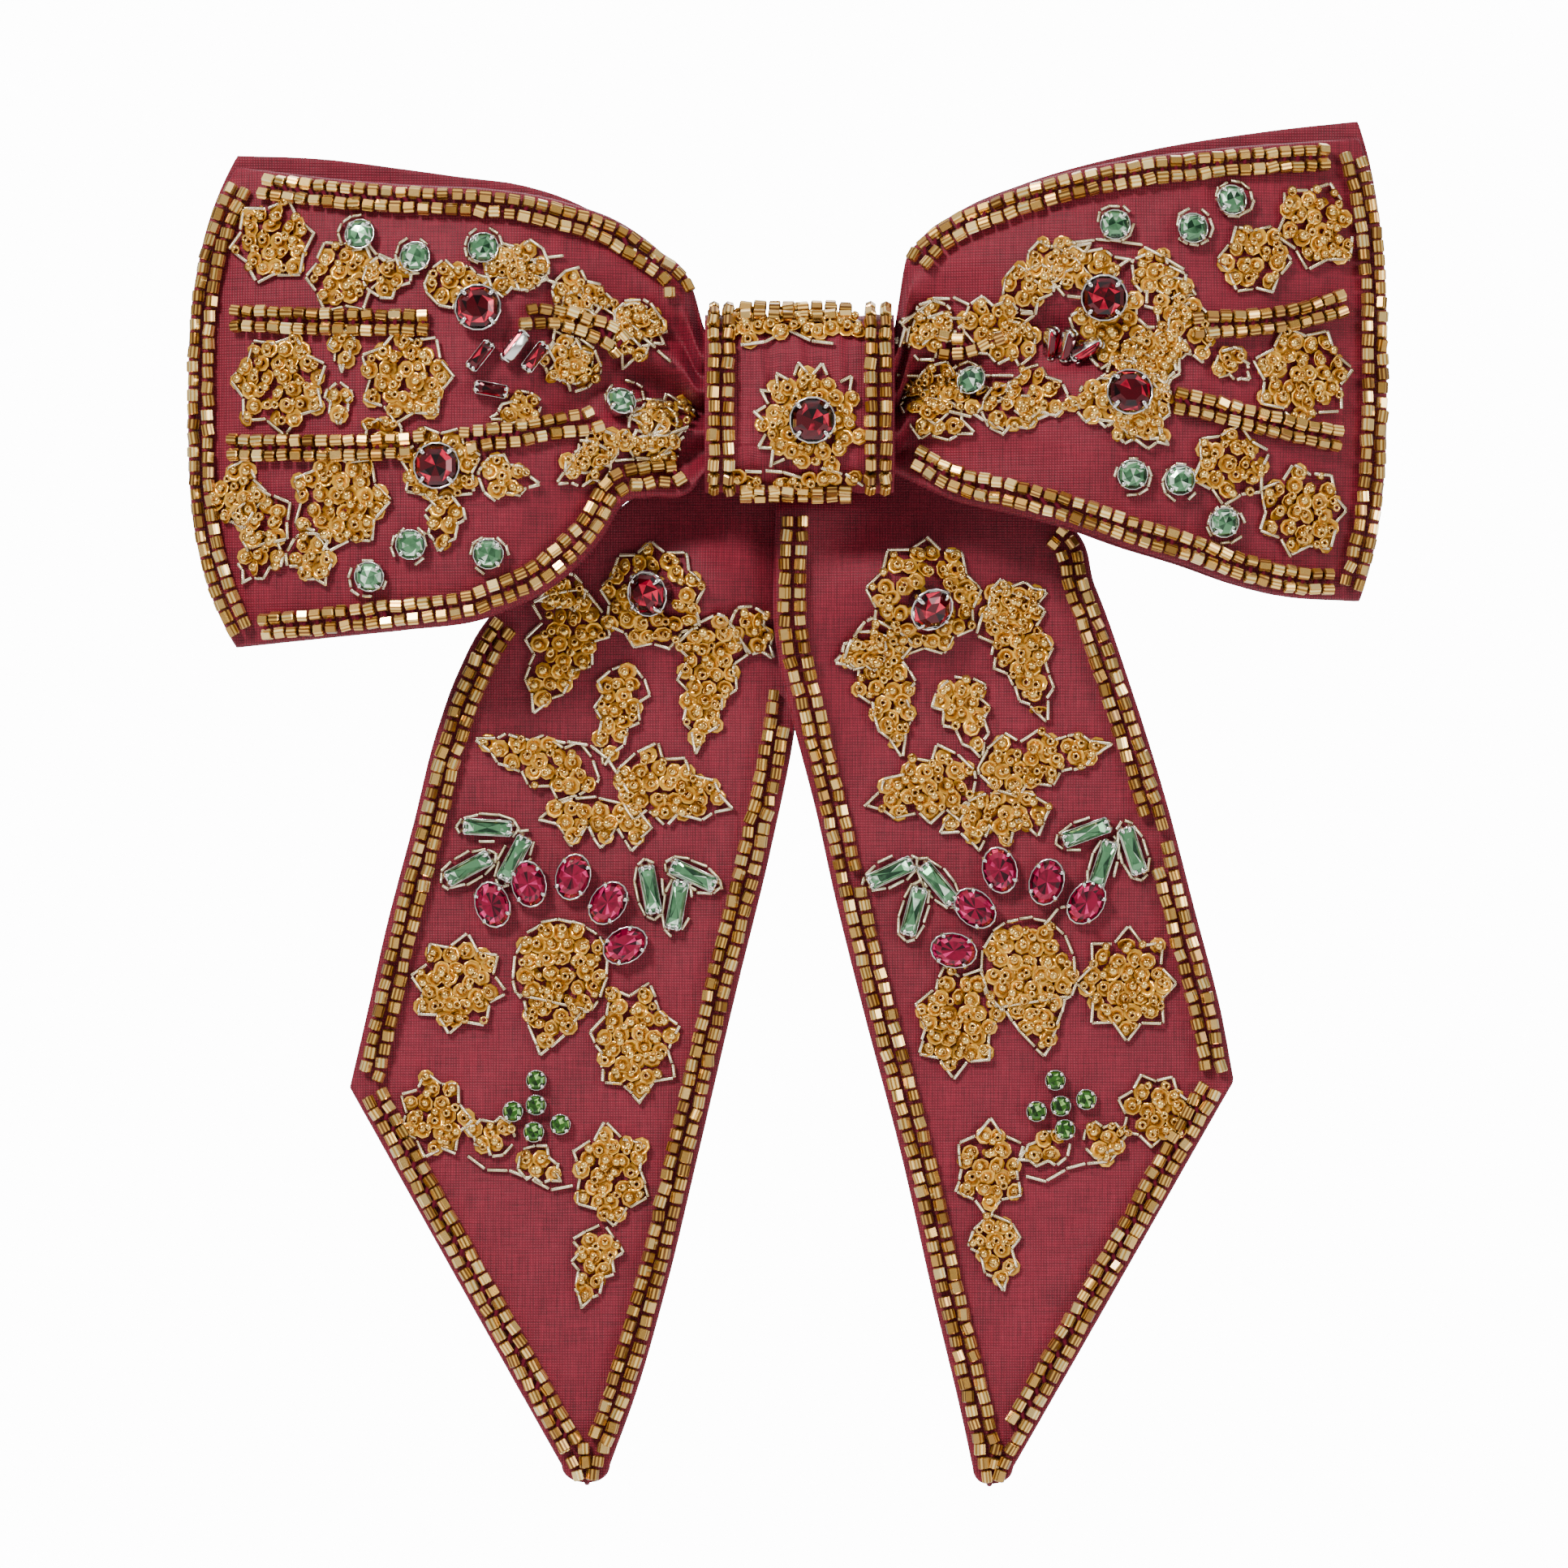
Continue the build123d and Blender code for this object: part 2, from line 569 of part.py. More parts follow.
def raised(depth_at, x, z, lift=0):
    """Bead centres over a line on a cloth surface."""
    points, normals = surface_frame(depth_at, x, z)
    return points + normals * (bead_diameter / 2 + bead_standoff + lift)


def loop_stone_rings(side):
    """The (x, z, radius) round each stone on a loop that beads are left out of."""
    rings = []
    for table, size in ((LOOP_GARNETS, ROUND_GARNET), (LOOP_GREENS, ROUND_GREEN),
                        (LOOP_BARS, BAGUETTE_GARNET[0])):
        for along, up, _ in table[side]:
            x, z = loop_place(side, np.array(along), np.array(up))
            rings.append((float(x), float(z), (size + bead_diameter) / 2 + bead_clear))
    return rings


def tail_stone_rings(side):
    """The (x, z, radius) round each stone near a tail's rows that beads are left out of."""
    rings = []
    for across, down, _ in TAIL_BARS[side] + TAIL_RUBIES[side]:
        x, z = tail_place(side, np.array(across), np.array(down))
        rings.append((float(x), float(z), (BAGUETTE_GREEN[0] + bead_diameter) / 2 + bead_clear))
    return rings


def make_loop_beads(side):
    """Double rows along both long edges, two columns at the fold, and double rows across."""
    name = SIDE_NAMES[side]
    depth_at = loop_depth_at(side)
    middle = (side * loop_reach[side] * 0.5, 0)
    stones = loop_stone_rings(side)
    knot_edge = (knot_width / 2 + bead_diameter) / loop_reach[side]
    placed = []
    insets = (edge_inset, edge_inset + row_pitch)
    fold = []
    for inset in insets:
        up = np.linspace(0.015, 0.985, 300)
        x, z = loop_place(side, np.ones_like(up), up)
        line = raised(depth_at, *inset_line(x, z, inset, middle), loop_bead_lift)
        fold += string_beads(line, placed)
    save(f"{name}_loop_fold_beads", fold)
    edge = []
    for level in (1.0, 0.0):
        for inset in insets:
            along = np.linspace(knot_edge, 0.958, 400)
            x, z = loop_place(side, along, np.full_like(along, level))
            line = raised(depth_at, *inset_line(x, z, inset, middle), loop_bead_lift)
            edge += string_beads(line, placed, stones)
    save(f"{name}_loop_edge_beads", edge)
    rib = []
    for points in LOOP_RIBS[side]:
        along = np.linspace(points[-1][0], points[0][0], 200)
        up = smooth_line(sorted(points), along)
        x, z = loop_place(side, along, up)
        for inset in (-row_pitch / 2, row_pitch / 2):
            line = raised(depth_at, *inset_line(x, z, inset, (x[0], 100)), loop_bead_lift)
            rib += string_beads(line, placed, stones)
    save(f"{name}_loop_rib_beads", rib)


def make_tail_beads(side):
    """Double rows down the inner edge, the outer edge and the slanted end."""
    name = SIDE_NAMES[side]
    depth_at = tail_depth_at(side)
    corner, tip = TAIL_OUTER[side][0], TAIL_TIP[side][1]
    inner_down = np.linspace(0.10 if side == RIGHT else 0.20, 0.975, 500)
    outer_down = np.linspace(0.104 if side == RIGHT else 0.19, corner[0] - 0.004, 300)
    slant_down = np.linspace(corner[0] + 0.012, tip[0] - 0.012, 300)
    rows = {"inner_edge": (inner_down, 0), "outer_edge": (outer_down, 1), "point": (slant_down, 1)}
    middle = (side * tail_spread[side] * 0.55, -tail_length[side] * 0.58)
    stones = tail_stone_rings(side)
    placed = []
    for row, (down, across) in rows.items():
        beads = []
        for inset in (edge_inset, edge_inset + row_pitch):
            x, z = tail_place(side, np.full_like(down, across), down)
            x, z = inset_line(x, z, inset, middle)
            if side == LEFT:
                cover = tail_edge(RIGHT, TAIL_INNER, -z / tail_length[RIGHT])
                shown = x < cover - bead_diameter
                x, z = x[shown], z[shown]
            beads += string_beads(raised(depth_at, x, z), placed, stones)
        save(f"{name}_tail_{row}_beads", beads)


def knot_path(inset, start, end):
    """Centres of beads round the knot's section, by angle about the middle of its front corners."""
    half = (knot_top - knot_bottom) / 2 - knot_corner
    middle = (knot_top + knot_bottom) / 2
    radius = knot_corner + inset
    angles = np.radians(np.linspace(start, 0, 60))
    top = np.stack([knot_front - knot_corner + radius * np.cos(angles),
                    middle + half + radius * np.sin(angles)], axis=1)
    angles = np.radians(np.linspace(0, end, 60))
    low = np.stack([knot_front - knot_corner + radius * np.cos(angles),
                    middle - half + radius * np.sin(angles)], axis=1)
    return np.concatenate([top, low])


def make_knot_beads():
    """Two columns down each side of the knot, and rows along its top and bottom ridges."""
    raise_by = bead_diameter / 2 + bead_standoff
    placed = []
    columns = []
    for place in (-1, 1):
        for inset in (1.2, 1.2 + row_pitch):
            section = knot_path(raise_by, 80, -70)
            x = np.full(len(section), place * (knot_width / 2 - inset))
            columns += string_beads(np.stack([x, -section[:, 0], section[:, 1]], axis=1), placed)
    save("knot_side_beads", columns)
    ridge = []
    x = np.linspace(-knot_width / 2 + 4.6, knot_width / 2 - 4.6, 100)
    for angle in (88, 70, 52, -58, -74):
        spot = knot_path(raise_by, angle, 0)[0] if angle > 0 else knot_path(raise_by, 0, angle)[-1]
        line = np.stack([x, np.full_like(x, -spot[0]), np.full_like(x, spot[1])], axis=1)
        ridge += string_beads(line, placed)
    save("knot_ridge_beads", ridge)


# ---------------------------------------------------------------- stones
cup_wall = 0.2
cup_clearance = 0.04
cup_floor = 0.3
prong_width = 0.45
floor_gap = 0.05        # between the stone's point and the floor of its cup
stone_lift = 0.15       # the cup's floor above the cloth


def scaled_round(diameter):
    """Girdle, table and heights of a round stone of this diameter."""
    return diameter / 2, 0.55 * diameter / 2, 0.17 * diameter, 0.32 * diameter


def round_stone(diameter):
    """Brilliant outline: a pavilion cone, a thin girdle, a crown and a flat table. Girdle at z 0."""
    girdle, table, crown_height, pavilion = scaled_round(diameter)
    outline = [(0, -pavilion), (girdle, 0), (girdle, 0.2), (table, 0.2 + crown_height),
               (0, 0.2 + crown_height)]
    return revolve(Plane.XZ * make_face(Polyline(*outline, close=True)), axis=Axis.Z)


def step_stone(profile, table_share, crown_height, pavilion):
    """Step-cut or oval stone: a girdle slab with a tapered crown and pavilion."""
    girdle = extrude(profile(1), amount=0.2)
    crown_part = loft([Pos(0, 0, 0.2) * profile(1), Pos(0, 0, 0.2 + crown_height) * profile(table_share)])
    base = loft([Pos(0, 0, -pavilion) * profile(0.45), profile(1)])
    return girdle + crown_part + base


def cup(profile, grown, pavilion, prongs, crown_height):
    """Open metal cup under a stone, with prongs that stand beside its girdle."""
    low = -pavilion - cup_floor - floor_gap
    shell = extrude(Pos(0, 0, low) * grown, amount=-low)
    shell -= extrude(Pos(0, 0, low + cup_floor) * profile, amount=-low)
    for (px, py) in prongs:
        shell += Pos(px, py, crown_height / 2 - 0.2) * Box(prong_width, prong_width, crown_height + 0.4)
    return shell


def round_cup(diameter):
    """Cup for a round stone, four prongs."""
    girdle, table, crown_height, pavilion = scaled_round(diameter)
    inside = girdle + cup_clearance
    at = (inside + prong_width / 2 + 0.02) * math.sqrt(0.5) + 0.12
    return cup(Circle(inside), Circle(inside + cup_wall), pavilion, four_prongs(at, at), crown_height)


def four_prongs(x, y):
    """Places of four prongs about the middle of a cup."""
    return [(sx * x, sy * y) for sx in (-1, 1) for sy in (-1, 1)]


def round_set(diameter):
    """Stone, its cup, the height of the girdle above the cloth, and the cup's radius."""
    pavilion = scaled_round(diameter)[3]
    lift = pavilion + cup_floor + floor_gap + stone_lift
    return round_stone(diameter), round_cup(diameter), lift, diameter / 2 + cup_wall


def oval_set(size):
    """Oval stone, its cup, its girdle height and the cup's longest radius."""
    def profile(share, grow=0.0):
        return Ellipse(size[0] / 2 * share + grow, size[1] / 2 * share + grow)

    pavilion, crown_height = 1.2, 0.9
    stone = step_stone(profile, 0.6, crown_height, pavilion)
    beside = 0.41 * size[1] + cup_clearance + prong_width / 2
    holder = cup(profile(1, cup_clearance), profile(1, cup_clearance + cup_wall), pavilion,
                 four_prongs(0.31 * size[0], beside), crown_height)
    return stone, holder, pavilion + cup_floor + floor_gap + stone_lift, size[0] / 2 + cup_wall


def baguette_set(size):
    """Oblong step-cut stone, its cup, its girdle height and the cup's longest radius."""
    def profile(share, grow=0.0):
        return Rectangle(size[0] - size[1] * (1 - share) + 2 * grow, size[1] * share + 2 * grow)

    pavilion, crown_height = 0.8, 0.6
    stone = step_stone(profile, 0.6, crown_height, pavilion)
    beyond = size[0] / 2 + cup_clearance + prong_width / 2
    holder = cup(profile(1, cup_clearance), profile(1, cup_clearance + cup_wall), pavilion,
                 four_prongs(beyond, size[1] / 4), crown_height)
    reach = math.hypot(*size) / 2 + cup_wall
    return stone, holder, pavilion + cup_floor + floor_gap + stone_lift, reach


def seat(depth_at, x, z, lift, turn, footprint):
    """Plane for a stone: square to the cloth, and above the highest cloth under its footprint."""
    point, normal = (a[0] for a in surface_frame(depth_at, np.array([x]), np.array([z])))
    angle, share = np.meshgrid(np.linspace(0, 2 * math.pi, 16, endpoint=False), (0.5, 1.0))
    ring_x = x + footprint * share.ravel() * np.cos(angle.ravel())
    ring_z = z + footprint * share.ravel() * np.sin(angle.ravel())
    ring = np.stack([ring_x, -depth_at(ring_x, ring_z), ring_z], axis=1)
    swell = max(0, ((ring - point) @ normal).max())
    plane = Plane(origin=Vector(*(point + normal * (lift + swell))),
                  x_dir=(1, -normal[0] / normal[1], 0), z_dir=Vector(*normal))
    return plane.location * Rot(0, 0, turn)


def set_stones(stone_set, seats):
    """Copies of a stone and its cup at each seat."""
    stone, holder, lift, footprint = stone_set
    places = [seat(depth_at, x, z, lift, turn, footprint) for depth_at, x, z, turn in seats]
    return ([(place * stone).solids()[0] for place in places],
            [(place * holder).solids()[0] for place in places])


def loop_seats(side, table):
    """Seats on a loop from (along, up, turn)."""
    spots = []
    for along, up, turn in table[side]:
        x, z = loop_place(side, np.array(along), np.array(up))
        spots.append((loop_depth_at(side), float(x), float(z), turn))
    return spots


def tail_seats(side, table):
    """Seats on a tail from (across, down, turn)."""
    spots = []
    for across, down, turn in table[side]:
        x, z = tail_place(side, np.array(across), np.array(down))
        spots.append((tail_depth_at(side), float(x), float(z), turn))
    return spots


def make_stones():
    """All stones, grouped by kind and by where they sit, with their cups beside them."""
    def write(name, stone_set, seats):
        stones, cups = set_stones(stone_set, seats)
        save(name, stones)
        save(f"{name}_cups", cups)

    knot_face = [(lambda x, z: knot_front + 0 * x, KNOT_GARNET[0], KNOT_GARNET[1], 0)]
    garnet = round_set(ROUND_GARNET)
    write("knot_garnet", garnet, knot_face)
    for side, name in SIDE_NAMES.items():
        write(f"{name}_loop_garnets", garnet, loop_seats(side, LOOP_GARNETS))
        write(f"{name}_loop_garnet_bars", baguette_set(BAGUETTE_GARNET), loop_seats(side, LOOP_BARS))
        write(f"{name}_loop_green_stones", round_set(ROUND_GREEN), loop_seats(side, LOOP_GREENS))
        write(f"{name}_tail_garnet", garnet, tail_seats(side, TAIL_GARNETS))
    write("tail_ruby_ovals", oval_set(OVAL_RUBY),
          sum((tail_seats(side, TAIL_RUBIES) for side in SIDE_NAMES), []))
    write("tail_green_bars", baguette_set(BAGUETTE_GREEN),
          sum((tail_seats(side, TAIL_BARS) for side in SIDE_NAMES), []))
    write("tail_olive_stones", round_set(ROUND_OLIVE),
          sum((tail_seats(side, TAIL_OLIVES) for side in SIDE_NAMES), []))


# ---------------------------------------------------------------- build
os.makedirs("parts", exist_ok=True)
for bow_side in SIDE_NAMES:
    make_loop(bow_side)
    make_tail(bow_side)
    make_loop_beads(bow_side)
    make_tail_beads(bow_side)
make_knot()
make_knot_beads()
make_back_pad()
make_fixed_jaw()
make_moving_jaw()
make_pin_and_spring()
make_stones()
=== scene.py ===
import math

import bpy
import numpy as np
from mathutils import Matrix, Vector


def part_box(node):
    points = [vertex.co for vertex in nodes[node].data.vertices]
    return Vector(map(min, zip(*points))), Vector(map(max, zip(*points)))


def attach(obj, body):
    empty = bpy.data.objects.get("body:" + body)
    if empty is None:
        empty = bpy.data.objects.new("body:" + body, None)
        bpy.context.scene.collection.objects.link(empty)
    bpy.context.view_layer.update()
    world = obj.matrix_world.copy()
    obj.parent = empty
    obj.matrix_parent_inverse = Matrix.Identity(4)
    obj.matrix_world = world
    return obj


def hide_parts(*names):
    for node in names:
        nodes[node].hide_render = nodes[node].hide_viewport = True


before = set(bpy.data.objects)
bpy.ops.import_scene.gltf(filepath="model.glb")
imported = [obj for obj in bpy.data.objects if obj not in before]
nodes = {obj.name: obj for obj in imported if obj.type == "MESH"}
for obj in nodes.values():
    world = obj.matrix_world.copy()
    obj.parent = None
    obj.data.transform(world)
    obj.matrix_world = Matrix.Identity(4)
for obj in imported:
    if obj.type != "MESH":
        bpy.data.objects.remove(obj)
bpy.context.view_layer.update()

# A beaded silk bow on a sprung clip. The frame holds its sizes, beads, stones and clip; this script
# gives the cloth its folds and weave, the beads and stones their cut, and adds the embroidery.
# Lengths are millimetres until a mesh is made. X runs right, Z up, and the front faces -Y;
# a point at depth d has y = -d.
rng = np.random.default_rng(7)
MM = 0.001
LEFT, RIGHT = -1, 1
SIDES = {LEFT: "left", RIGHT: "right"}

# ---------------------------------------------------------------- the bow's own sizes
loop_reach = {LEFT: 75.5, RIGHT: 75.0}
loop_rise = {LEFT: 31.8, RIGHT: 35.7}
loop_drop = {LEFT: 32.0, RIGHT: 25.8}
loop_bulge = {LEFT: 6.3, RIGHT: 3.6}
back_rise = {LEFT: 33.7, RIGHT: 38.3}
tail_length = {LEFT: 145.2, RIGHT: 145.4}
tail_spread = {LEFT: 60.5, RIGHT: 58.5}
cloth, stiffener, layer_gap = 0.4, 0.4, 0.2
knot_width, knot_top, knot_bottom = 25.2, 12.0, -11.6
knot_wall, knot_corner = 1.2, 6.0
knot_back, knot_front = 4.8, 20.5
gather_clearance, gather_flare = 1.9, 0.45
waist_depth, crest_depth, fold_depth = 14.6, 22.0, 10.0
crest_place, crown = 0.42, 3.0
back_depth, back_hollow = 8.5, 2.2
pleat, pleats_across, pleat_fade, waist_fold = 1.4, 3.5, 0.16, 3.0
tail_top_depth, tail_low_depth, tail_top_height = 4.5, 2.7, 4.0
tail_puff, tail_lift, tail_ripple = 6.0, 3.8, 0.7

# The folds pressed into each loop's front by the knot, as shares of waist_fold and of the loop:
# (depth, height, drift of the height with the way out, half width, way out, length).
WAIST_FOLDS = {LEFT: [(1.0, 0.46, 0, 0.10, 0, 0.30)],
               RIGHT: [(1.3, 0.62, -0.25, 0.09, 0.30, 0.22), (0.6, 0.46, 0, 0.10, 0, 0.20)]}

# Edges of the panels. A loop's are (way out, share of the rise or drop); a tail's are (share of the
# length, share of the spread); a tail's tip is (share of the length, share of the spread).

LOOP_TOP = {
    LEFT: [(0.028, 0.48), (0.10, 0.64), (0.17, 0.74), (0.30, 0.833), (0.46, 0.885), (0.63, 0.905),
           (0.76, 0.93), (1, 1)],
    RIGHT: [(0.026, 0.53), (0.053, 0.60), (0.126, 0.70), (0.216, 0.768), (0.28, 0.807),
            (0.452, 0.882), (0.696, 0.944), (0.868, 0.975), (1, 1)],
}
LOOP_BOTTOM = {
    LEFT: [(0.03, 0.345), (0.125, 0.375), (0.178, 0.405), (0.22, 0.54), (0.28, 0.67), (0.34, 0.765),
           (0.40, 0.825), (0.47, 0.88), (0.64, 0.93), (0.735, 0.95), (1, 1)],
    RIGHT: [(0.135, 0.485), (0.255, 0.55), (0.38, 0.63), (0.486, 0.72), (0.62, 0.82), (0.72, 0.907),
            (0.817, 0.97), (1, 1)],
}
BACK_TOP = {
    LEFT: [(0.04, 0.42), (0.10, 0.58), (0.163, 0.69), (0.232, 0.77), (0.304, 0.835), (0.40, 0.89),
           (0.52, 0.92), (0.64, 0.95), (0.832, 0.99), (1, 1)],
    RIGHT: [(0.026, 0.49), (0.053, 0.57), (0.138, 0.68), (0.28, 0.783), (0.52, 0.893),
            (0.796, 0.965), (1, 1)],
}
TAIL_INNER = {
    LEFT: [(0, 0.056), (0.083, 0.056), (0.105, 0.035), (0.14, 0.008), (0.19, 0), (0.24, 0),
           (0.30, 0.017), (0.41, 0.070), (0.54, 0.146), (0.69, 0.23), (0.82, 0.305), (0.92, 0.374),
           (0.984, 0.43)],
    RIGHT: [(0, -0.046), (0.10, -0.048), (0.15, -0.052), (0.21, -0.05), (0.24, -0.038),
            (0.285, -0.012), (0.375, 0.046), (0.45, 0.087), (0.56, 0.155), (0.69, 0.24),
            (0.825, 0.316), (0.94, 0.384), (0.985, 0.408)],
}
TAIL_OUTER = {
    LEFT: [(0.632, 1), (0.56, 0.96), (0.485, 0.92), (0.385, 0.857), (0.30, 0.805), (0.245, 0.757),
           (0.195, 0.69), (0.13, 0.512), (0.069, 0.33), (0.02, 0.231)],
    RIGHT: [(0.625, 1), (0.56, 0.97), (0.465, 0.909), (0.36, 0.840), (0.255, 0.758), (0.164, 0.677),
            (0.105, 0.61), (0.062, 0.40), (0.02, 0.24)],
}
TAIL_TIP = {LEFT: [(1.0, 0.475), (0.994, 0.512)], RIGHT: [(1.0, 0.44), (0.992, 0.478)]}


# ---------------------------------------------------------------- curves and cloth surfaces
def smooth_line(points, at):
    """Cubic line through (place, height) points, whose slopes are the points' mean slopes."""
    places, heights = np.array(points, float).T
    slopes = np.gradient(heights, places)
    span = np.clip(np.searchsorted(places, at) - 1, 0, len(places) - 2)
    length = places[span + 1] - places[span]
    w = (np.asarray(at, float) - places[span]) / length
    return ((2 * w**3 - 3 * w**2 + 1) * heights[span] + (w**3 - 2 * w**2 + w) * length * slopes[span]
            + (3 * w**2 - 2 * w**3) * heights[span + 1] + (w**3 - w**2) * length * slopes[span + 1])


def ease(share):
    """Smooth step from 0 to 1: 3s^2 - 2s^3."""
    share = np.clip(share, 0, 1)
    return share * share * (3 - 2 * share)


def bump(value, centre, width):
    """Bell curve of height 1."""
    return np.exp(-((value - centre) / width) ** 2)


def outwards(side, along):
    """Share of the way from the knot's edge to the fold."""
    start = knot_width / 2 / loop_reach[side]
    return (along - start) / (1 - start)


def long_edge(table, height, gather, out):
    """A loop's long edge: level inside the knot, then out along its table."""
    level = gather / height
    gathered = [(-0.3, level), (-0.03, level), (0, level + gather_flare / height)]
    return height * smooth_line(gathered + table, out)


def loop_edges(side, along, back=False):
    """Z of a loop's lower and upper edge."""
    out = outwards(side, along)
    room = knot_wall + gather_clearance
    bottom = -long_edge(LOOP_BOTTOM[side], loop_drop[side], -knot_bottom - room, out)
    table, rise = (BACK_TOP[side], back_rise[side]) if back else (LOOP_TOP[side], loop_rise[side])
    return bottom, long_edge(table, rise, knot_top - room, out)


def reach_at(side, up):
    """Reach of the fold: the corners' reach and a bulge that falls off with the cube of the height."""
    return loop_reach[side] + loop_bulge[side] * (1 - np.abs(2 * up - 1) ** 3)


def loop_place(side, along, up, back=False):
    """X and Z on a loop: straight lines ruled between its two long edges."""
    bottom, top = loop_edges(side, along, back)
    return side * along * reach_at(side, up), bottom + (top - bottom) * up


def loop_shares(side, x, z):
    """The (along, up) shares of a point, by repeated halving of the error in up."""
    up = np.full(np.shape(x), 0.5)
    for _ in range(40):
        along = np.abs(x) / reach_at(side, up)
        bottom, top = loop_edges(side, along)
        up = (up + np.clip((z - bottom) / (top - bottom), -0.1, 1.1)) / 2
    return along, up


def loop_front_depth(side, along, up):
    """A swell from the waist to the crest and a parabola down to the fold, with gathers and folds."""
    out = np.clip(outwards(side, along), 0, 1)
    rise = waist_depth + (crest_depth - waist_depth) * ease(out / crest_place)
    fall = crest_depth - (crest_depth - fold_depth) * ((out - crest_place) / (1 - crest_place)) ** 2
    depth = np.where(out < crest_place, rise, fall) - crown * (2 * up - 1) ** 2 * np.sin(math.pi * out)
    depth = depth + pleat * np.exp(-out / pleat_fade) * np.cos(2 * math.pi * pleats_across * up)
    for share, height, drift, width, place, length in WAIST_FOLDS[side]:
        depth = depth - (share * waist_fold * bump(up, height + drift * out, width)
                         * bump(out, place, length))
    return depth


def loop_back_depth(side, along, up):
    """Nearly flat, a little hollow half way out."""
    out = np.clip(outwards(side, along), 0, 1)
    return back_depth - back_hollow * np.sin(math.pi * out) ** 2 + 0 * up


def tail_edge(side, table, down):
    """X of a tail's edge at a share of its length."""
    line = sorted(table[side])
    return side * tail_spread[side] * smooth_line(line, np.maximum(down, line[0][0]))


def tail_depth(side, x, z):
    """Flat behind the knot, billowing forward under it, then hanging almost flat with a slow ripple.

    The right tail lies over the left one, so it is lifted where they cross."""
    settle = ease(-(z + 12) / 30)
    depth = tail_top_depth + (tail_low_depth - tail_top_depth) * settle
    depth = depth + tail_puff * bump(x, side * 13, 8.5) * bump(z, -24, 7)
    depth = depth + tail_ripple * settle * np.sin(z / 17 + 0.3 * side) * np.cos(x / 14)
    if side == RIGHT:
        depth = depth + tail_lift * bump(x, -2, 8) * ease(-(z + 9) / 5) * ease((z + 54) / 14)
    return depth


def tail_place(side, across, down):
    """X and Z on a tail: level lines between its edges, closed by a quarter ellipse at the tip."""
    spread, tip = side * tail_spread[side], TAIL_TIP[side]
    corner, round_from = TAIL_OUTER[side][0], TAIL_INNER[side][-1][0]
    held = np.minimum(down, round_from)
    slant = corner[1] + (tip[1][1] - corner[1]) * (held - corner[0]) / (tip[1][0] - corner[0])
    outer = np.where(held < corner[0], tail_edge(side, TAIL_OUTER, np.minimum(held, corner[0])),
                     spread * slant)
    inner = tail_edge(side, TAIL_INNER, held)
    closing = np.sqrt(1 - np.clip((down - round_from) / (1 - round_from), 0, 1) ** 2)
    inner = spread * tip[0][1] + (inner - spread * tip[0][1]) * closing
    outer = spread * tip[0][1] + (outer - spread * tip[0][1]) * closing
    return inner + (outer - inner) * across, -tail_length[side] * down


def crease(side, x, z):
    """Fine creases: rays from the knot and slanted lines, all sines, that weaken away from it."""
    away = np.hypot(x, z)
    near = np.exp(-away / 45)
    rays = np.sin(9 * np.arctan2(z, np.abs(x) + 6) + 0.12 * away + side) * near
    slant = np.sin(0.33 * x + 0.55 * z * side + 2 * np.sin(0.06 * z)) * (0.25 + 0.5 * near)
    return 0.42 * rays + 0.16 * slant + 0.05 * np.sin(0.9 * x - 0.7 * z)


def loop_depth_at(side):
    """Depth of a loop's visible front at x and z: its folds, its creases and a long groove.

    The creases fade towards the edges, where the rows of beads hold the cloth flat."""
    def depth(x, z):
        along, up = loop_shares(side, x, z)
        inside = ease(up / 0.12) * ease((1 - up) / 0.12) * ease((1 - along) / 0.1)
        fold = loop_front_depth(side, along, up) + crease(side, x, z) * inside
        if side == LEFT:
            return fold - 1.5 * bump(z, 0.3 + 0.05 * x, 1.5) * ease((x + 40) / 20) * ease(up / 0.2)
        groove = 1.3 * bump(z, 2.2 + 0.22 * (x - 20), 1.7)
        return fold - groove * ease((46 - x) / 16) * ease((x - 8) / 6)
    return depth


def tail_depth_at(side):
    """Depth of a tail's visible face at x and z."""
    return lambda x, z: tail_depth(side, x, z) + 0.6 * crease(side, x, z) * ease(-(z + 14) / 10)


def on_cloth(depth_at, x, z):
    """Points on a depth surface and unit normals out of its front, from small differences."""
    step = 0.05
    slope_x = (depth_at(x + step, z) - depth_at(x - step, z)) / (2 * step)
    slope_z = (depth_at(x, z + step) - depth_at(x, z - step)) / (2 * step)
    normal = np.stack([-slope_x, -np.ones_like(x), -slope_z], axis=-1)
    normal /= np.linalg.norm(normal, axis=-1, keepdims=True)
    return np.stack([x, -depth_at(x, z), z], axis=-1), normal


# ---------------------------------------------------------------- finishes
class Socket:
    """An output of a material's nodes; sums on it add the nodes that work them out."""

    def __init__(self, tree, output):
        self.tree, self.output = tree, output

    def maths(self, operation, *values):
        """The output of a Math node on these values."""
        node = self.tree.nodes.new("ShaderNodeMath")
        node.operation = operation
        for place, value in zip(node.inputs, values):
            join(self.tree, place, value)
        return Socket(self.tree, node.outputs[0])

    def __add__(self, other):
        return self.maths("ADD", self, other)

    def __sub__(self, other):
        return self.maths("SUBTRACT", self, other)

    def __rsub__(self, other):
        return self.maths("SUBTRACT", other, self)

    def __mul__(self, other):
        return self.maths("MULTIPLY", self, other)

    __radd__, __rmul__ = __add__, __mul__


def sine(angle):
    """The sine of a socket."""
    return angle.maths("SINE", angle)


def join(tree, place, value):
    """Link a socket, or set a plain value."""
    if isinstance(value, Socket):
        tree.links.new(value.output, place)
    else:
        place.default_value = value


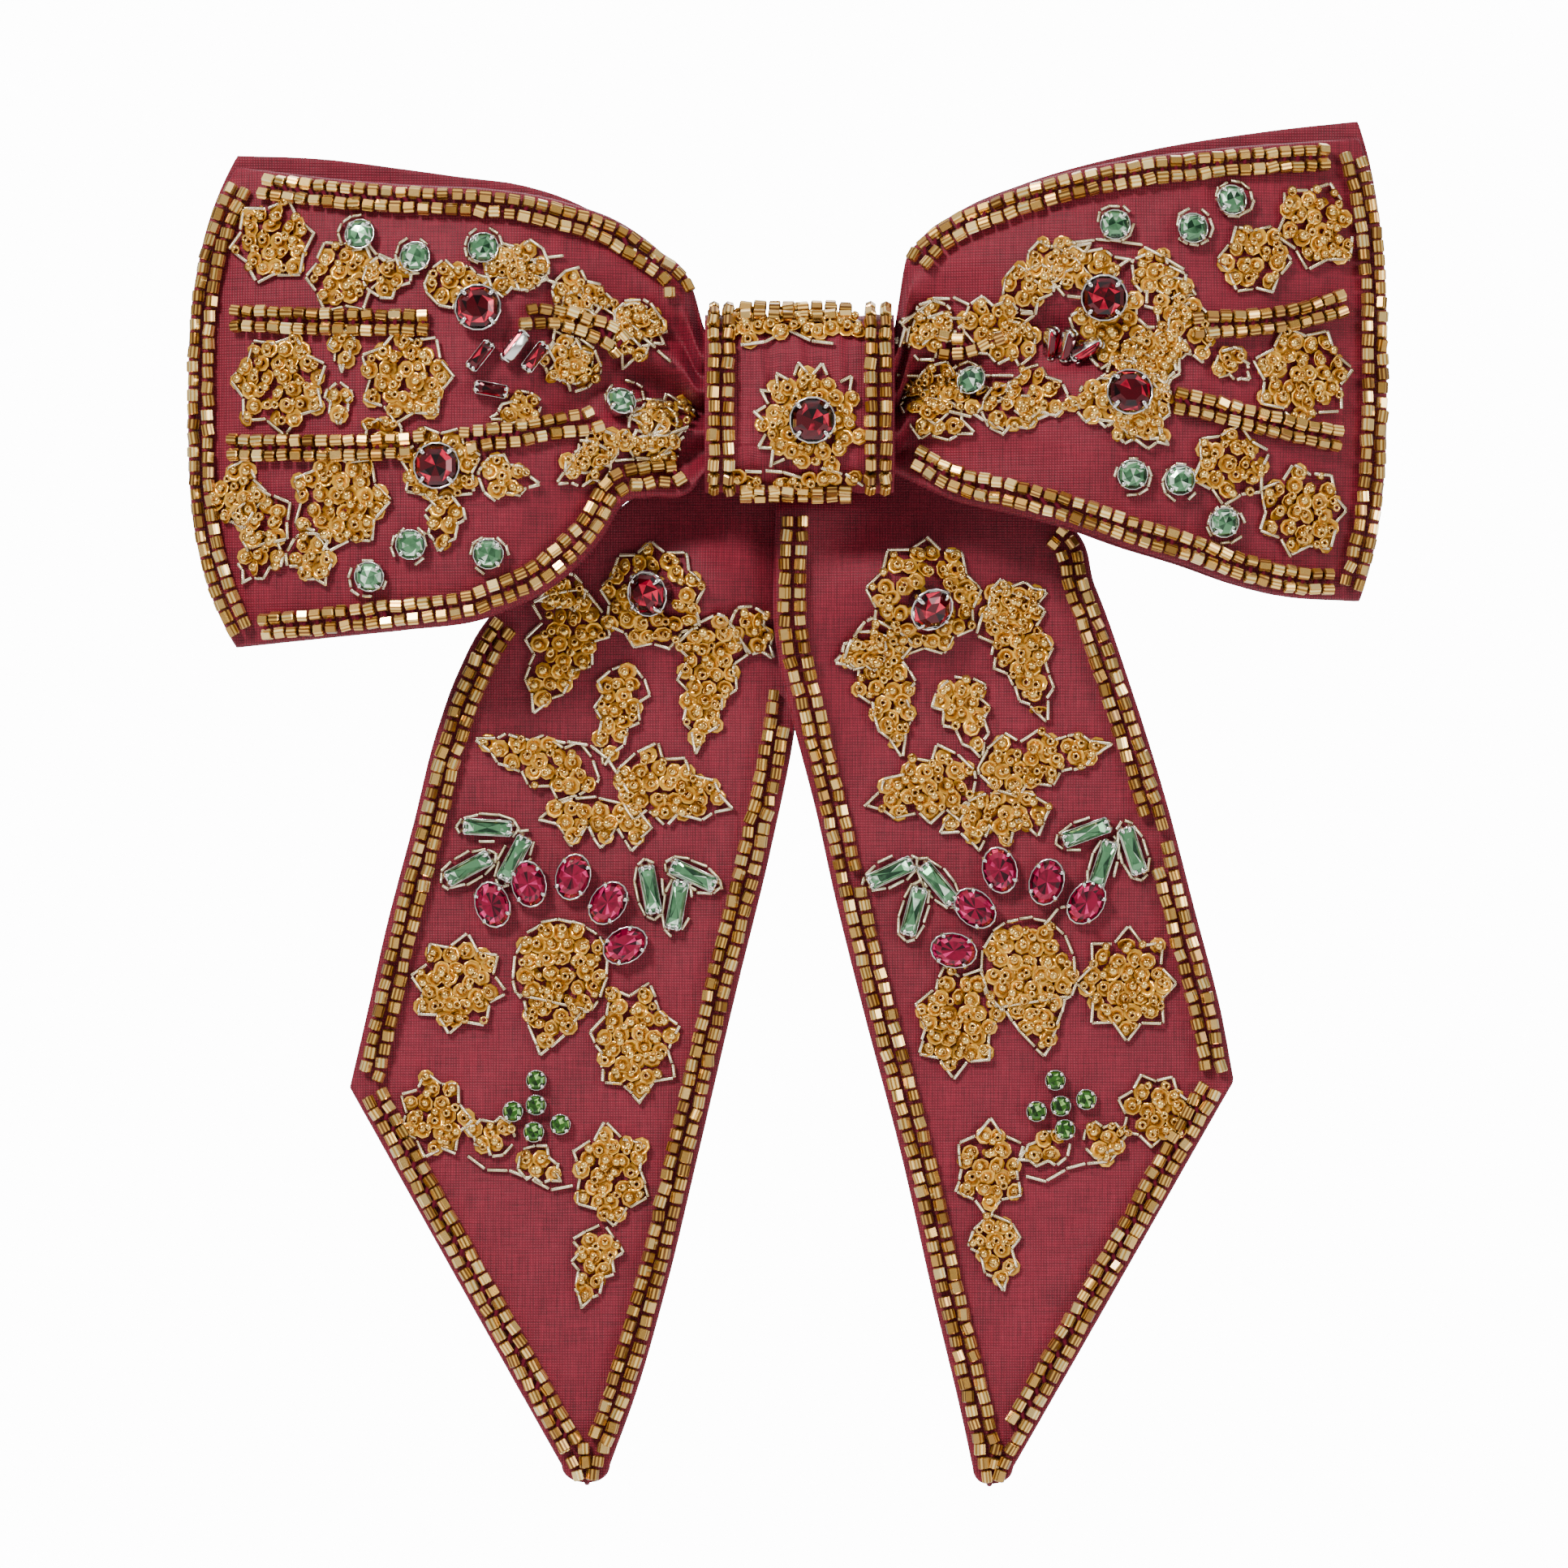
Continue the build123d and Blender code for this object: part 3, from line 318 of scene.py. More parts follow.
class Finish:
    """A material's Principled surface, or the world's Background, and the nodes behind it."""

    def __init__(self, name, kind="materials", surface_node="Principled BSDF", **surface):
        self.material = getattr(bpy.data, kind).new(name)
        self.material.use_nodes = True
        self.tree = self.material.node_tree
        self.surface = self.tree.nodes[surface_node]
        self.set(**surface)

    def set(self, **values):
        """Set or link the surface's sockets; Base_Color stands for Base Color."""
        for name, value in values.items():
            join(self.tree, self.surface.inputs[name.replace("_", " ")], value)

    def add(self, kind, settings=None, stops=None, out=0, **values):
        """Any other node: its settings and ramp stops first, then its sockets by name or number."""
        node = self.tree.nodes.new("ShaderNode" + kind)
        for name, value in (settings or {}).items():
            setattr(node, name, value)
        if stops:
            ramp = node.color_ramp
            while len(ramp.elements) < len(stops):
                ramp.elements.new(0.5)
            for element, (place, colour) in zip(ramp.elements, stops):
                element.position, element.color = place, (*colour, 1)
        for name, value in values.items():
            socket = int(name[1:]) if name[1:].isdigit() else name.replace("_", " ")
            join(self.tree, node.inputs[socket], value)
        return Socket(self.tree, node.outputs[out])

    def attribute(self, name):
        """A number stored on the mesh."""
        return self.add("Attribute", {"attribute_name": name}, out=2)

    def mix(self, share, first, second):
        """A colour between two colours."""
        return self.add("Mix", {"data_type": "RGBA"}, out=2,
                        i0=share, i6=colour(first), i7=colour(second))

    def noise(self, scale, vector=None, detail=3.0, out=0):
        """Noise of this scale on object coordinates, or on the vector given."""
        place = vector if vector is not None else self.add("TexCoord", out=3)
        return self.add("TexNoise", out=out, Vector=place, Scale=scale, Detail=detail)

    def bumped(self, height, strength, distance):
        """A normal from a height, for the Normal socket."""
        return self.add("Bump", Height=height, Strength=strength, Distance=distance)


def colour(value):
    """A plain colour as four numbers; a socket as it is."""
    return value if isinstance(value, Socket) else (*value, 1)


WEAVE = 0.36            # pitch of the silk's threads
PURL_PITCH = 0.25       # pitch of the coils in the wire


def silk(name, lit, shaded_tone, shine=0.14):
    """Plain weave: the product of two sines is the threads that lie on top, brightened as painted
    highlights; slubs run along both, and coarse noise darkens patches as painted crease shade.
    """
    finish = Finish(name, Roughness=0.5, Sheen_Weight=shine, Sheen_Roughness=0.35,
                    Sheen_Tint=(1.0, 0.30, 0.42, 1), Specular_IOR_Level=0.3)
    cloth_map = finish.add("UVMap")
    across = finish.add("SeparateXYZ", Vector=cloth_map)
    up = Socket(finish.tree, across.output.node.outputs[1])
    turn = 2 * math.pi / WEAVE / 2
    over = sine(across * turn) * sine(up * turn)
    slub_up = finish.noise(1.0, finish.add("Mapping", Vector=cloth_map, Scale=(4.2, 0.22, 1)))
    slub_across = finish.noise(1.0, finish.add("Mapping", Vector=cloth_map, Scale=(0.22, 4.2, 1)))
    crease_shade_noise = finish.noise(160.0)
    slubs = (slub_up - 0.5) * 0.8 + (slub_across - 0.5) * 0.7
    # Painted light: the thread tops add a painted highlight and the coarse noise a painted crease shade;
    # the slubs are the yarn's own uneven tone.
    tone = 0.20 + over * over * 0.58 + slubs + (crease_shade_noise - 0.5) * 0.35
    tone = tone.maths("MINIMUM", tone.maths("MAXIMUM", tone, 0.0), 1.0)
    # The colour runs from the painted shaded tone up to the lit tone.
    finish.set(Base_Color=finish.mix(tone, shaded_tone, lit),
               Roughness=0.62 - over * over * 0.22,
               Normal=finish.bumped(over * over + slub_up * 0.9 + slub_across * 0.8, 0.55, 0.00012))
    return finish.material


def gold_glass():
    """Pale gold glass over silver: painted highlight bands where a facet turns, darker on the end faces
    and in the bore.
    """
    finish = Finish("champagne_cut_glass", Metallic=0.80, Roughness=0.2, Coat_Weight=0.35,
                    Coat_Roughness=0.05, Specular_IOR_Level=0.6)
    around, end, tint = (finish.attribute(n) for n in ("around", "end", "tint"))
    # Painted light: the sine bands and the palest ramp stop are painted highlights; the end numbers
    # darken the end faces and the bore.
    highlight_bands = sine(around * 56.5 + tint * 20.0)
    glow = 0.48 + highlight_bands * 0.26 + (tint - 0.5) * 0.6 - end * end * 0.34
    body = finish.add("ValToRGB", Fac=glow,
                      stops=[(0.05, (0.16, 0.058, 0.006)), (0.30, (0.46, 0.22, 0.035)),
                             (0.55, (0.92, 0.55, 0.12)), (0.92, (1.0, 0.84, 0.43))])
    finish.set(Base_Color=body, Roughness=0.16 + (1.0 - tint) * 0.14)
    return finish.material


def amber(name, dark, bright, metallic, roughness):
    """Tinted glass or foil whose tone differs from piece to piece, with a painted highlight on each rim.
    """
    finish = Finish(name, Metallic=metallic, Roughness=roughness, Coat_Weight=0.35,
                    Coat_Roughness=0.06)
    tint, rim = finish.attribute("tint"), finish.attribute("rim")
    streak = finish.noise(1500.0, detail=1.0)
    # The rim numbers add a painted highlight round each sequin's and seed bead's rim.
    finish.set(Base_Color=finish.mix(tint * 0.55 + streak * 0.55 + rim * 0.45 - 0.22, dark, bright))
    return finish.material


def purl():
    """Close-wound bright wire: a sine along each piece is its coils, in the bump and as painted shade
    between the coils in the colour.
    """
    finish = Finish("purl_wire", Metallic=1.0, Roughness=0.24)
    run, tint = finish.attribute("run"), finish.attribute("tint")
    ring = sine(run * (2 * math.pi / PURL_PITCH))
    # The sine darkens the colour between the coils as painted shade; the tint is each piece's own tone.
    tint_and_coil_shade = tint * 0.6 + ring * 0.25 + 0.2
    finish.set(Base_Color=finish.mix(tint_and_coil_shade, (0.52, 0.40, 0.22), (1.0, 0.91, 0.70)),
               Normal=finish.bumped(ring, 0.5, 0.00006))
    return finish.material


def metal(name, tone, roughness, scratch=0.08):
    """Plated metal with faint brushing."""
    finish = Finish(name, Metallic=1.0, Roughness=roughness)
    brushed = finish.noise(1.0, finish.add("Mapping", Vector=finish.add("TexCoord", out=3),
                                           Scale=(300, 2500, 2500)))
    spots = finish.noise(400.0)
    darker = tuple(0.72 * c for c in tone)
    finish.set(Base_Color=finish.mix(spots * 0.5 + brushed * 0.5, darker, tone),
               Roughness=roughness - scratch / 2 + brushed * scratch,
               Normal=finish.bumped(brushed, 0.10, 0.00002))
    return finish.material


def gem(name, shaded_tone, bright, glint_tone):
    """Foiled glass: every facet has its own depth of colour, under a clear hard surface; the darkest
    facets are painted shade and the palest a painted glint.
    """
    finish = Finish(name, Metallic=0.55, Roughness=0.10, Coat_Weight=0.35, Coat_Roughness=0.03,
                    Specular_IOR_Level=0.5)
    facet = finish.attribute("facet")
    veil = finish.noise(1100.0, detail=1.0)
    # The shaded tone and the glint tone are painted light on the facets; the bright stops are the glass's
    # colour.
    body = finish.add("ValToRGB", Fac=facet * 0.75 + veil * 0.35,
                      stops=[(0.20, shaded_tone), (0.50, bright), (0.78, bright), (0.92, glint_tone)])
    finish.set(Base_Color=body)
    return finish.material


def felt(name, tone):
    """Matted wool: two sizes of noise in tone and height."""
    finish = Finish(name, Roughness=0.95, Specular_IOR_Level=0.15)
    fibre, tuft = finish.noise(2600.0, detail=5.0), finish.noise(500.0)
    light = tuple(min(1, 1.5 * c) for c in tone)
    finish.set(Base_Color=finish.mix(fibre * 0.7 + tuft * 0.3, tone, light),
               Normal=finish.bumped(fibre + tuft, 0.6, 0.0002))
    return finish.material


# Each silk's first colour is its lit tone and its second its painted shaded tone.
FACE_SILK = silk("burgundy_silk", (0.31, 0.012, 0.034), (0.070, 0.0018, 0.0070))
LINING_SILK = silk("burgundy_lining", (0.24, 0.010, 0.028), (0.065, 0.0020, 0.0075), shine=0.08)
GOLD_BEAD = gold_glass()
SEQUIN = amber("amber_sequin", (0.30, 0.095, 0.004), (0.95, 0.50, 0.045), 0.55, 0.18)
SEED_BEAD = amber("honey_seed_bead", (0.34, 0.125, 0.008), (1.0, 0.66, 0.17), 0.85, 0.12)
PURL = purl()
SILVER = metal("silver_plate", (0.86, 0.84, 0.80), 0.16)
STEEL = metal("nickel_steel", (0.66, 0.65, 0.63), 0.26, 0.16)
# Each glass's first colour is its painted shaded facet and its last its painted glint.
GARNET = gem("garnet_glass", (0.006, 0.0002, 0.001), (0.085, 0.0004, 0.005), (0.80, 0.008, 0.055))
RUBY = gem("ruby_glass", (0.035, 0.0003, 0.006), (0.30, 0.0010, 0.036), (0.95, 0.03, 0.22))
GREEN = gem("green_glass", (0.010, 0.042, 0.018), (0.105, 0.27, 0.125), (0.80, 1.0, 0.80))
OLIVE = gem("olive_glass", (0.004, 0.020, 0.001), (0.035, 0.14, 0.010), (0.45, 0.80, 0.22))
FELT = felt("burgundy_felt", (0.060, 0.003, 0.010))
WADDING = felt("white_wadding", (0.62, 0.60, 0.56))
THREAD = felt("burgundy_thread", (0.075, 0.003, 0.011))


# ---------------------------------------------------------------- meshes
def piece(name, points, faces, material, slot, body="bow", smooth=True, uv=None, replaces=(),
          **numbers):
    """A mesh object from points in millimetres and one or more arrays of faces.

    Numbers are stored on the mesh for its material, one for each point or each face."""
    faces = faces if isinstance(faces, list) else [faces]
    mesh = bpy.data.meshes.new(name)
    mesh.vertices.add(len(points))
    mesh.vertices.foreach_set("co", (np.asarray(points, float) * MM).ravel())
    corners = np.concatenate([f.ravel() for f in faces])
    sizes = np.concatenate([np.full(len(f), f.shape[1]) for f in faces])
    mesh.loops.add(len(corners))
    mesh.loops.foreach_set("vertex_index", corners)
    mesh.polygons.add(len(sizes))
    mesh.polygons.foreach_set("loop_start", np.concatenate([[0], np.cumsum(sizes)[:-1]]))
    mesh.polygons.foreach_set("use_smooth", np.full(len(sizes), smooth))
    mesh.update(calc_edges=True)
    for key, values in numbers.items():
        per_face = len(values) == len(sizes) and len(values) != len(points)
        layer = mesh.attributes.new(key, "FLOAT", "FACE" if per_face else "POINT")
        layer.data.foreach_set("value", np.asarray(values, np.float32))
    if uv is not None:
        mesh.uv_layers.new(name="UVMap").data.foreach_set("uv", np.asarray(uv, float)[corners].ravel())
    mesh.materials.append(material)
    made = bpy.data.objects.new(name, mesh)
    bpy.context.scene.collection.objects.link(made)
    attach(made, body)
    if replaces:
        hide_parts(*replaces)
    return made


def grid_faces(rows, columns, closed=False):
    """Quads of a grid of points, numbered row by row; closed joins the last column to the first."""
    i, j = np.meshgrid(np.arange(rows - 1), np.arange(columns if closed else columns - 1),
                       indexing="ij")
    k = (j + 1) % columns
    return np.stack([i * columns + j, (i + 1) * columns + j, (i + 1) * columns + k, i * columns + k],
                    axis=-1).reshape(-1, 4)


def cloth_shell(front, thickness):
    """Closed shell from a front grid: a copy moved straight back, and a rolled edge between them.

    The rolled edge is a line half way back, moved out by rolled_share of the thickness."""
    rolled_share = 0.4
    rows, columns, _ = front.shape
    back = front + np.array([0, thickness, 0])
    i = np.concatenate([np.arange(rows), np.full(columns - 2, rows - 1), np.arange(rows)[::-1],
                        np.zeros(columns - 2, int)])
    j = np.concatenate([np.zeros(rows, int), np.arange(1, columns - 1), np.full(rows, columns - 1),
                        np.arange(1, columns - 1)[::-1]])
    outward = front[i, j] - front[np.clip(i, 1, rows - 2), np.clip(j, 1, columns - 2)]
    outward /= np.linalg.norm(outward, axis=1, keepdims=True)
    rolled = (front[i, j] + back[i, j]) / 2 + outward * thickness * rolled_share
    flat = grid_faces(rows, columns)
    size, around = rows * columns, len(i)
    edge = i * columns + j
    middle = 2 * size + np.arange(around)
    nxt = np.roll(np.arange(around), -1)
    front_strip = np.stack([edge[nxt], edge, middle, middle[nxt]], axis=1)
    back_strip = np.stack([middle[nxt], middle, edge + size, edge[nxt] + size], axis=1)
    faces = np.concatenate([flat, flat[:, ::-1] + size, front_strip, back_strip])
    points = np.concatenate([front.reshape(-1, 3), back.reshape(-1, 3), rolled])
    a, b, c = (points[flat[:, n]] for n in (0, 1, 2))
    if np.cross(b - a, c - a)[:, 1].sum() > 0:
        faces = faces[:, ::-1]
    return points, faces


def ring_faces(rows, columns):
    """Quads of a closed profile's rings, facing out where the profile runs anticlockwise."""
    return (grid_faces(rows + 1, columns, closed=True) % (rows * columns))[:, ::-1]


def turned(profile, sides):
    """A closed profile of (radius, height) points carried round the Z axis."""
    radius, height = np.array(profile, float).T
    angle = np.arange(sides) * 2 * math.pi / sides
    points = np.stack([radius[:, None] * np.cos(angle), radius[:, None] * np.sin(angle),
                       height[:, None] + 0 * angle], axis=-1)
    return points.reshape(-1, 3), ring_faces(len(profile), sides)


def scatter(shape, origins, frames, scales=1.0):
    """Copies of a shape at the origins; a frame's columns are the copy's X, Y and Z directions."""
    points, faces = shape
    scales = np.asarray(scales, float)
    scales = scales.reshape(-1, 1, 1) if scales.ndim < 2 else scales[:, None, :]
    placed = np.einsum("nij,nvj->nvi", frames, points[None] * scales) + origins[:, None]
    shift = (np.arange(len(origins)) * len(points))[:, None, None]
    return placed.reshape(-1, 3), (faces[None] + shift).reshape(-1, faces.shape[1])


def frames_from(up, lead=None):
    """Right-handed frames whose Z is the up direction and whose X is as near as can be to the lead.

    Without a lead the turn about Z is random."""
    up = up / np.linalg.norm(up, axis=-1, keepdims=True)
    if lead is None:
        lead = rng.normal(size=up.shape)
    side = lead - (lead * up).sum(-1, keepdims=True) * up
    side /= np.linalg.norm(side, axis=-1, keepdims=True)
    return np.stack([side, np.cross(up, side), up], axis=-1)


def per_copy(values, shape):
    """One number for each copy, repeated for each of its points."""
    return np.repeat(values, len(shape[0]))


# ---------------------------------------------------------------- solids read from the frame
def solids_of(node):
    """The separate solids in a frame node, as arrays of points in millimetres.

    Corners are merged by place. Each takes the lowest label in its triangles until none changes."""
    mesh = nodes[node].data
    spots = np.empty(len(mesh.vertices) * 3, np.float32)
    mesh.vertices.foreach_get("co", spots)
    corners = np.empty(len(mesh.loops), np.int32)
    mesh.loops.foreach_get("vertex_index", corners)
    unique, index = np.unique(np.round(spots.reshape(-1, 3) / MM, 3), axis=0, return_inverse=True)
    triangles = index.ravel()[corners].reshape(-1, 3)
    label = np.arange(len(unique))
    while True:
        low = label[triangles].min(axis=1)
        new = label.copy()
        for n in range(3):
            np.minimum.at(new, triangles[:, n], low)
        new = new[new]
        if (new == label).all():
            break
        label = new
    return [unique[label == name] for name in np.unique(label)]


def axes_of(solid):
    """Middle of a solid's box along its own axes, and those axes from the longest to the shortest."""
    centre = solid.mean(axis=0)
    _, _, axes = np.linalg.svd(solid - centre, full_matrices=False)
    reach = (solid - centre) @ axes.T
    return centre + (reach.max(axis=0) + reach.min(axis=0)) / 2 @ axes, axes


# ---------------------------------------------------------------- cloth pieces
def make_cloth(name, x, z, depth, thickness, material, slot, replaced, flat):
    """A sheet from a grid of places, woven along X and Z; the size it was cut to is only turned to
    metres.
    """
    front = np.stack([x, -depth, z], axis=-1)
    points, faces = cloth_shell(front, thickness)
    sheet = piece(name, points, faces, material, slot, uv=points[:, [0, 2]], replaces=replaced)
    tuple(v * MM for v in flat)
    return sheet


def make_loop_cloth(side):
    """Embroidered front on its interlining, and the plain back."""
    name = SIDES[side]
    places = np.concatenate([np.linspace(0.01, 0.30, 90), np.linspace(0.305, 1, 130)])
    along, up = np.meshgrid(places, np.linspace(0, 1, 150), indexing="ij")
    x, z = loop_place(side, along, up)
    cut = (loop_reach[side] + loop_bulge[side] + 8, loop_rise[side] + loop_drop[side])
    make_cloth(f"{name}_loop_front_silk", x, z, loop_depth_at(side)(x, z), 2 * cloth + layer_gap,
               FACE_SILK, "burgundy_silk", (f"{name}_loop_front_panel", f"{name}_loop_stiffener"),
               cut)
    x, z = loop_place(side, along, up, back=True)
    cut = (loop_reach[side] + loop_bulge[side], back_rise[side] + loop_drop[side])
    depth = loop_back_depth(side, along, up) + 0.8 * crease(side, x, z)
    make_cloth(f"{name}_loop_back_silk", x, z, depth, cloth, FACE_SILK, "burgundy_silk",
               (f"{name}_loop_back_panel",), cut)


def make_tail_cloth(side):
    """Embroidered face on its interlining, and the lining behind it."""
    name = SIDES[side]
    head = -tail_top_height / tail_length[side]
    levels = np.concatenate([np.linspace(head, 0.42, 130), np.linspace(0.425, 0.984, 120),
                             1 - 0.016 * np.linspace(1, 0.002, 12)[1:] ** 2])
    down, across = np.meshgrid(levels, np.linspace(0, 1, 90), indexing="ij")
    x, z = tail_place(side, across, down)
    depth = tail_depth_at(side)(x, z)
    cut = (abs(tail_spread[side]) * 0.8, tail_length[side] + tail_top_height)
    make_cloth(f"{name}_tail_face_silk", x, z, depth, 2 * cloth + layer_gap, FACE_SILK, "burgundy_silk",
               (f"{name}_tail_face", f"{name}_tail_stiffener"), cut)
    depth = tail_depth(side, x, z) - cloth - stiffener - 2 * layer_gap + 0.3 * crease(side, x, z)
    make_cloth(f"{name}_tail_lining_silk", x, z, depth, cloth, LINING_SILK, "lining_silk",
               (f"{name}_tail_lining",), cut)


def knot_section(share, inset):
    """Depth and height at a share of the way round the knot's section, drawn in by the inset.

    It is a rounded oblong: four straights with a quarter round after each, from the front's foot up."""
    corner = knot_corner - inset
    half_depth = (knot_front - knot_back) / 2 - inset
    half_height = (knot_top - knot_bottom) / 2 - inset
    straight = np.array([half_height - corner, half_depth - corner]) * 2
    quarter = math.pi / 2 * corner
    lengths = np.array([straight[0], quarter, straight[1], quarter] * 2)
    ends = np.concatenate([[0], np.cumsum(lengths)])
    at = np.asarray(share) * ends[-1]
    run = np.clip(np.searchsorted(ends, at, side="right") - 1, 0, 7)
    part = (at - ends[run]) / lengths[run]
    mid_depth, mid_height = (knot_front + knot_back) / 2, (knot_top + knot_bottom) / 2
    angle = np.array([0, 0, 90, 90, 180, 180, 270, 270])[run] + np.where(run % 2 == 1, 90 * part, 0)
    angle = np.radians(angle)
    turn = np.array([[1, 1], [1, 1], [1, 1], [-1, 1], [-1, 1], [-1, -1], [-1, -1], [1, -1]])
    corner_depth = mid_depth + (half_depth - corner) * turn[run, 0]
    corner_height = mid_height + (half_height - corner) * turn[run, 1]
    level = 2 * part - 1
    for wall, sign in ((0, 1), (4, -1)):
        along = mid_height + (half_height - corner) * sign * level
        corner_height = np.where(run == wall, along, corner_height)
    for wall, sign in ((2, -1), (6, 1)):
        along = mid_depth + (half_depth - corner) * sign * level
        corner_depth = np.where(run == wall, along, corner_depth)
    return corner_depth + corner * np.cos(angle), corner_height + corner * np.sin(angle)


def make_knot_cloth():
    """The band: its section carried across, with soft folds round it that fade at its two edges."""
    rows, columns = 120, 240
    band_length = 72.0
    half = knot_width / 2
    across, share = np.meshgrid(np.linspace(-1, 1, rows), np.arange(columns) / columns, indexing="ij")
    fold = 0.16 * np.sin(14 * across + 3 * np.sin(2 * math.pi * share))
    fold = (fold + 0.10 * np.sin(31 * across + 9 * share)) * (1 - across ** 4)
    shells = []
    for inset in (0.0, knot_wall):
        depth, height = knot_section(share, inset)
        mid_depth, mid_height = (knot_front + knot_back) / 2, (knot_top + knot_bottom) / 2
        reach = np.hypot(depth - mid_depth, height - mid_height)
        grow = 1 + (fold if inset == 0 else 0) / reach
        shells.append(np.stack([half * across, -(mid_depth + (depth - mid_depth) * grow),
                                mid_height + (height - mid_height) * grow], axis=-1))
    faces = grid_faces(rows, columns, closed=True)
    size = rows * columns
    k = np.arange(columns)
    nxt = (k + 1) % columns
    last = (rows - 1) * columns
    first_rim = np.stack([k, nxt, nxt + size, k + size], axis=1)
    last_rim = np.stack([nxt + last, k + last, k + last + size, nxt + last + size], axis=1)
    points = np.concatenate([s.reshape(-1, 3) for s in shells])
    faces = np.concatenate([faces, faces[:, ::-1] + size, first_rim, last_rim])
    around = np.tile(share.ravel() * band_length, 2)
    band = piece("knot_band_silk", points, faces, FACE_SILK, "burgundy_silk",
                 uv=np.stack([points[:, 0], around], axis=1), replaces=("knot_band",))


def crowned_pad(name, node, material, slot):
    """A pad in its node's box: a superellipse outline, crowned by a cosine and pulled in at its seam.

    Its first and last rows have shrunk to a point, so each is one pole."""
    rows, columns = 25, 96
    seam_power, corner_power = 0.35, 6
    low, high = (np.array(corner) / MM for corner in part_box(node))
    middle, half = (low + high) / 2, (high - low) / 2
    rise, turn = np.meshgrid(np.linspace(-1, 1, rows),
                             np.linspace(0, 2 * math.pi, columns, endpoint=False), indexing="ij")
    out = np.clip(np.cos(rise * math.pi / 2), 0, 1) ** seam_power
    square = (np.abs(np.cos(turn)) ** corner_power
              + np.abs(np.sin(turn)) ** corner_power) ** (-1 / corner_power)
    x = middle[0] + half[0] * out * square * np.cos(turn)
    z = middle[2] + half[2] * out * square * np.sin(turn)
    y = middle[1] + half[1] * np.sin(rise * math.pi / 2)
    points = np.stack([x, y, z], axis=-1)
    around = np.arange(columns)
    nxt, last, pole = (around + 1) % columns, (rows - 3) * columns, (rows - 2) * columns
    caps = [np.stack([around, nxt, np.full(columns, pole)], axis=1),
            np.stack([nxt + last, around + last, np.full(columns, pole + 1)], axis=1)]
    points = np.concatenate([points[1:-1].reshape(-1, 3), points[[0, -1]].mean(axis=1)])
    pad = piece(name, points, [grid_faces(rows - 2, columns, closed=True), *caps], material, slot,
                replaces=(node,))


# ---------------------------------------------------------------- beads
bead_length, bead_radius, bead_sides = 1.65, 0.88, 6
thread_radius, thread_reach, tip_bead_lift = 0.30, 3.2, 0.95
CUT_BEAD = turned([(0.34, -0.5), (0.74, -0.5), (0.98, -0.42), (0.98, 0.42), (0.74, 0.5), (0.34, 0.5)],
                  bead_sides)
BEAD_END = np.repeat([1, 1, 0.45, 0.45, 1, 1], bead_sides)
BEAD_AROUND = np.tile(np.arange(bead_sides) / bead_sides, 6)


def put_beads(name, centre, axis, slot, replaces=()):
    """Six-sided beads, each turned and sized a little differently."""
    count = len(centre)
    size = np.stack([bead_radius * rng.uniform(0.90, 1.05, count)] * 2
                    + [bead_length * rng.uniform(0.86, 1.06, count)], axis=1)
    lead = np.cross(axis, rng.normal(scale=0.9, size=axis.shape) + [0, 0, 1])
    axis = axis / np.linalg.norm(axis, axis=1, keepdims=True)
    axis = axis + rng.normal(scale=0.07, size=axis.shape)
    points, faces = scatter(CUT_BEAD, centre + rng.normal(scale=0.05, size=centre.shape),
                            frames_from(axis, lead), size)
    tint = rng.beta(1.6, 1.6, count)
    piece(name, points, faces, GOLD_BEAD, slot, smooth=False, replaces=replaces,
          tint=per_copy(tint, CUT_BEAD), end=np.tile(BEAD_END, count),
          around=np.tile(BEAD_AROUND, count))


def make_cut_beads(node):
    """Beads where the frame's beads lie."""
    solids = [axes_of(s) for s in solids_of(node)]
    centre = np.array([c for c, _ in solids])
    put_beads(f"{node}_cut", centre, np.array([a[0] for _, a in solids]), "gold_glass_beads", (node,))
    return centre


def make_threads(name, runs):
    """Doubled thread through each row: a thin rod from bead to bead, where they are close."""
    rod = turned([(0.001, -0.5), (1, -0.5), (1, 0.5), (0.001, 0.5)], 5)
    start = np.concatenate([r[:-1] for r in runs])
    stop = np.concatenate([r[1:] for r in runs])
    length = np.linalg.norm(stop - start, axis=1)
    near = length < thread_reach
    start, stop, length = start[near], stop[near], length[near]
    size = np.stack([np.full(len(length), thread_radius)] * 2 + [length], axis=1)
    points, faces = scatter(rod, (start + stop) / 2, frames_from(stop - start), size)
    piece(name, points, faces, THREAD, "binding_thread")


def close_tip(side):
    """Eight beads in the last of a tail's point, at (share of the length, share across)."""
    down, across = np.array([(0.9665, 0.17), (0.9665, 0.83), (0.9795, 0.22), (0.9795, 0.78),
                             (0.9795, 0.5), (0.9665, 0.5), (0.992, 0.30), (0.992, 0.72)]).T
    x, z = tail_place(side, across, down)
    ahead_x, ahead_z = tail_place(side, across, down - 0.01)
    points, normals = on_cloth(tail_depth_at(side), x, z)
    axis = np.stack([ahead_x - x, 0 * x, ahead_z - z], axis=1)
    put_beads(f"{SIDES[side]}_tail_tip_beads", points + normals * tip_bead_lift, axis,
              "gold_glass_beads")


# ---------------------------------------------------------------- stones and cups
garnet_size, green_size, olive_size = 5.6, 3.7, 2.5
oval_size, green_bar_size, garnet_bar_size = (5.8, 4.3), (6.0, 2.0), (4.0, 1.6)
girdle = 0.2            # height of a stone's straight edge
cup_room = 0.35         # depth of a cup under its stone's point


def outline_rings(outline, levels):
    """One ring of points for each (scale, height)."""
    return [np.concatenate([outline * scale, np.full((len(outline), 1), height)], axis=1)
            for scale, height in levels]


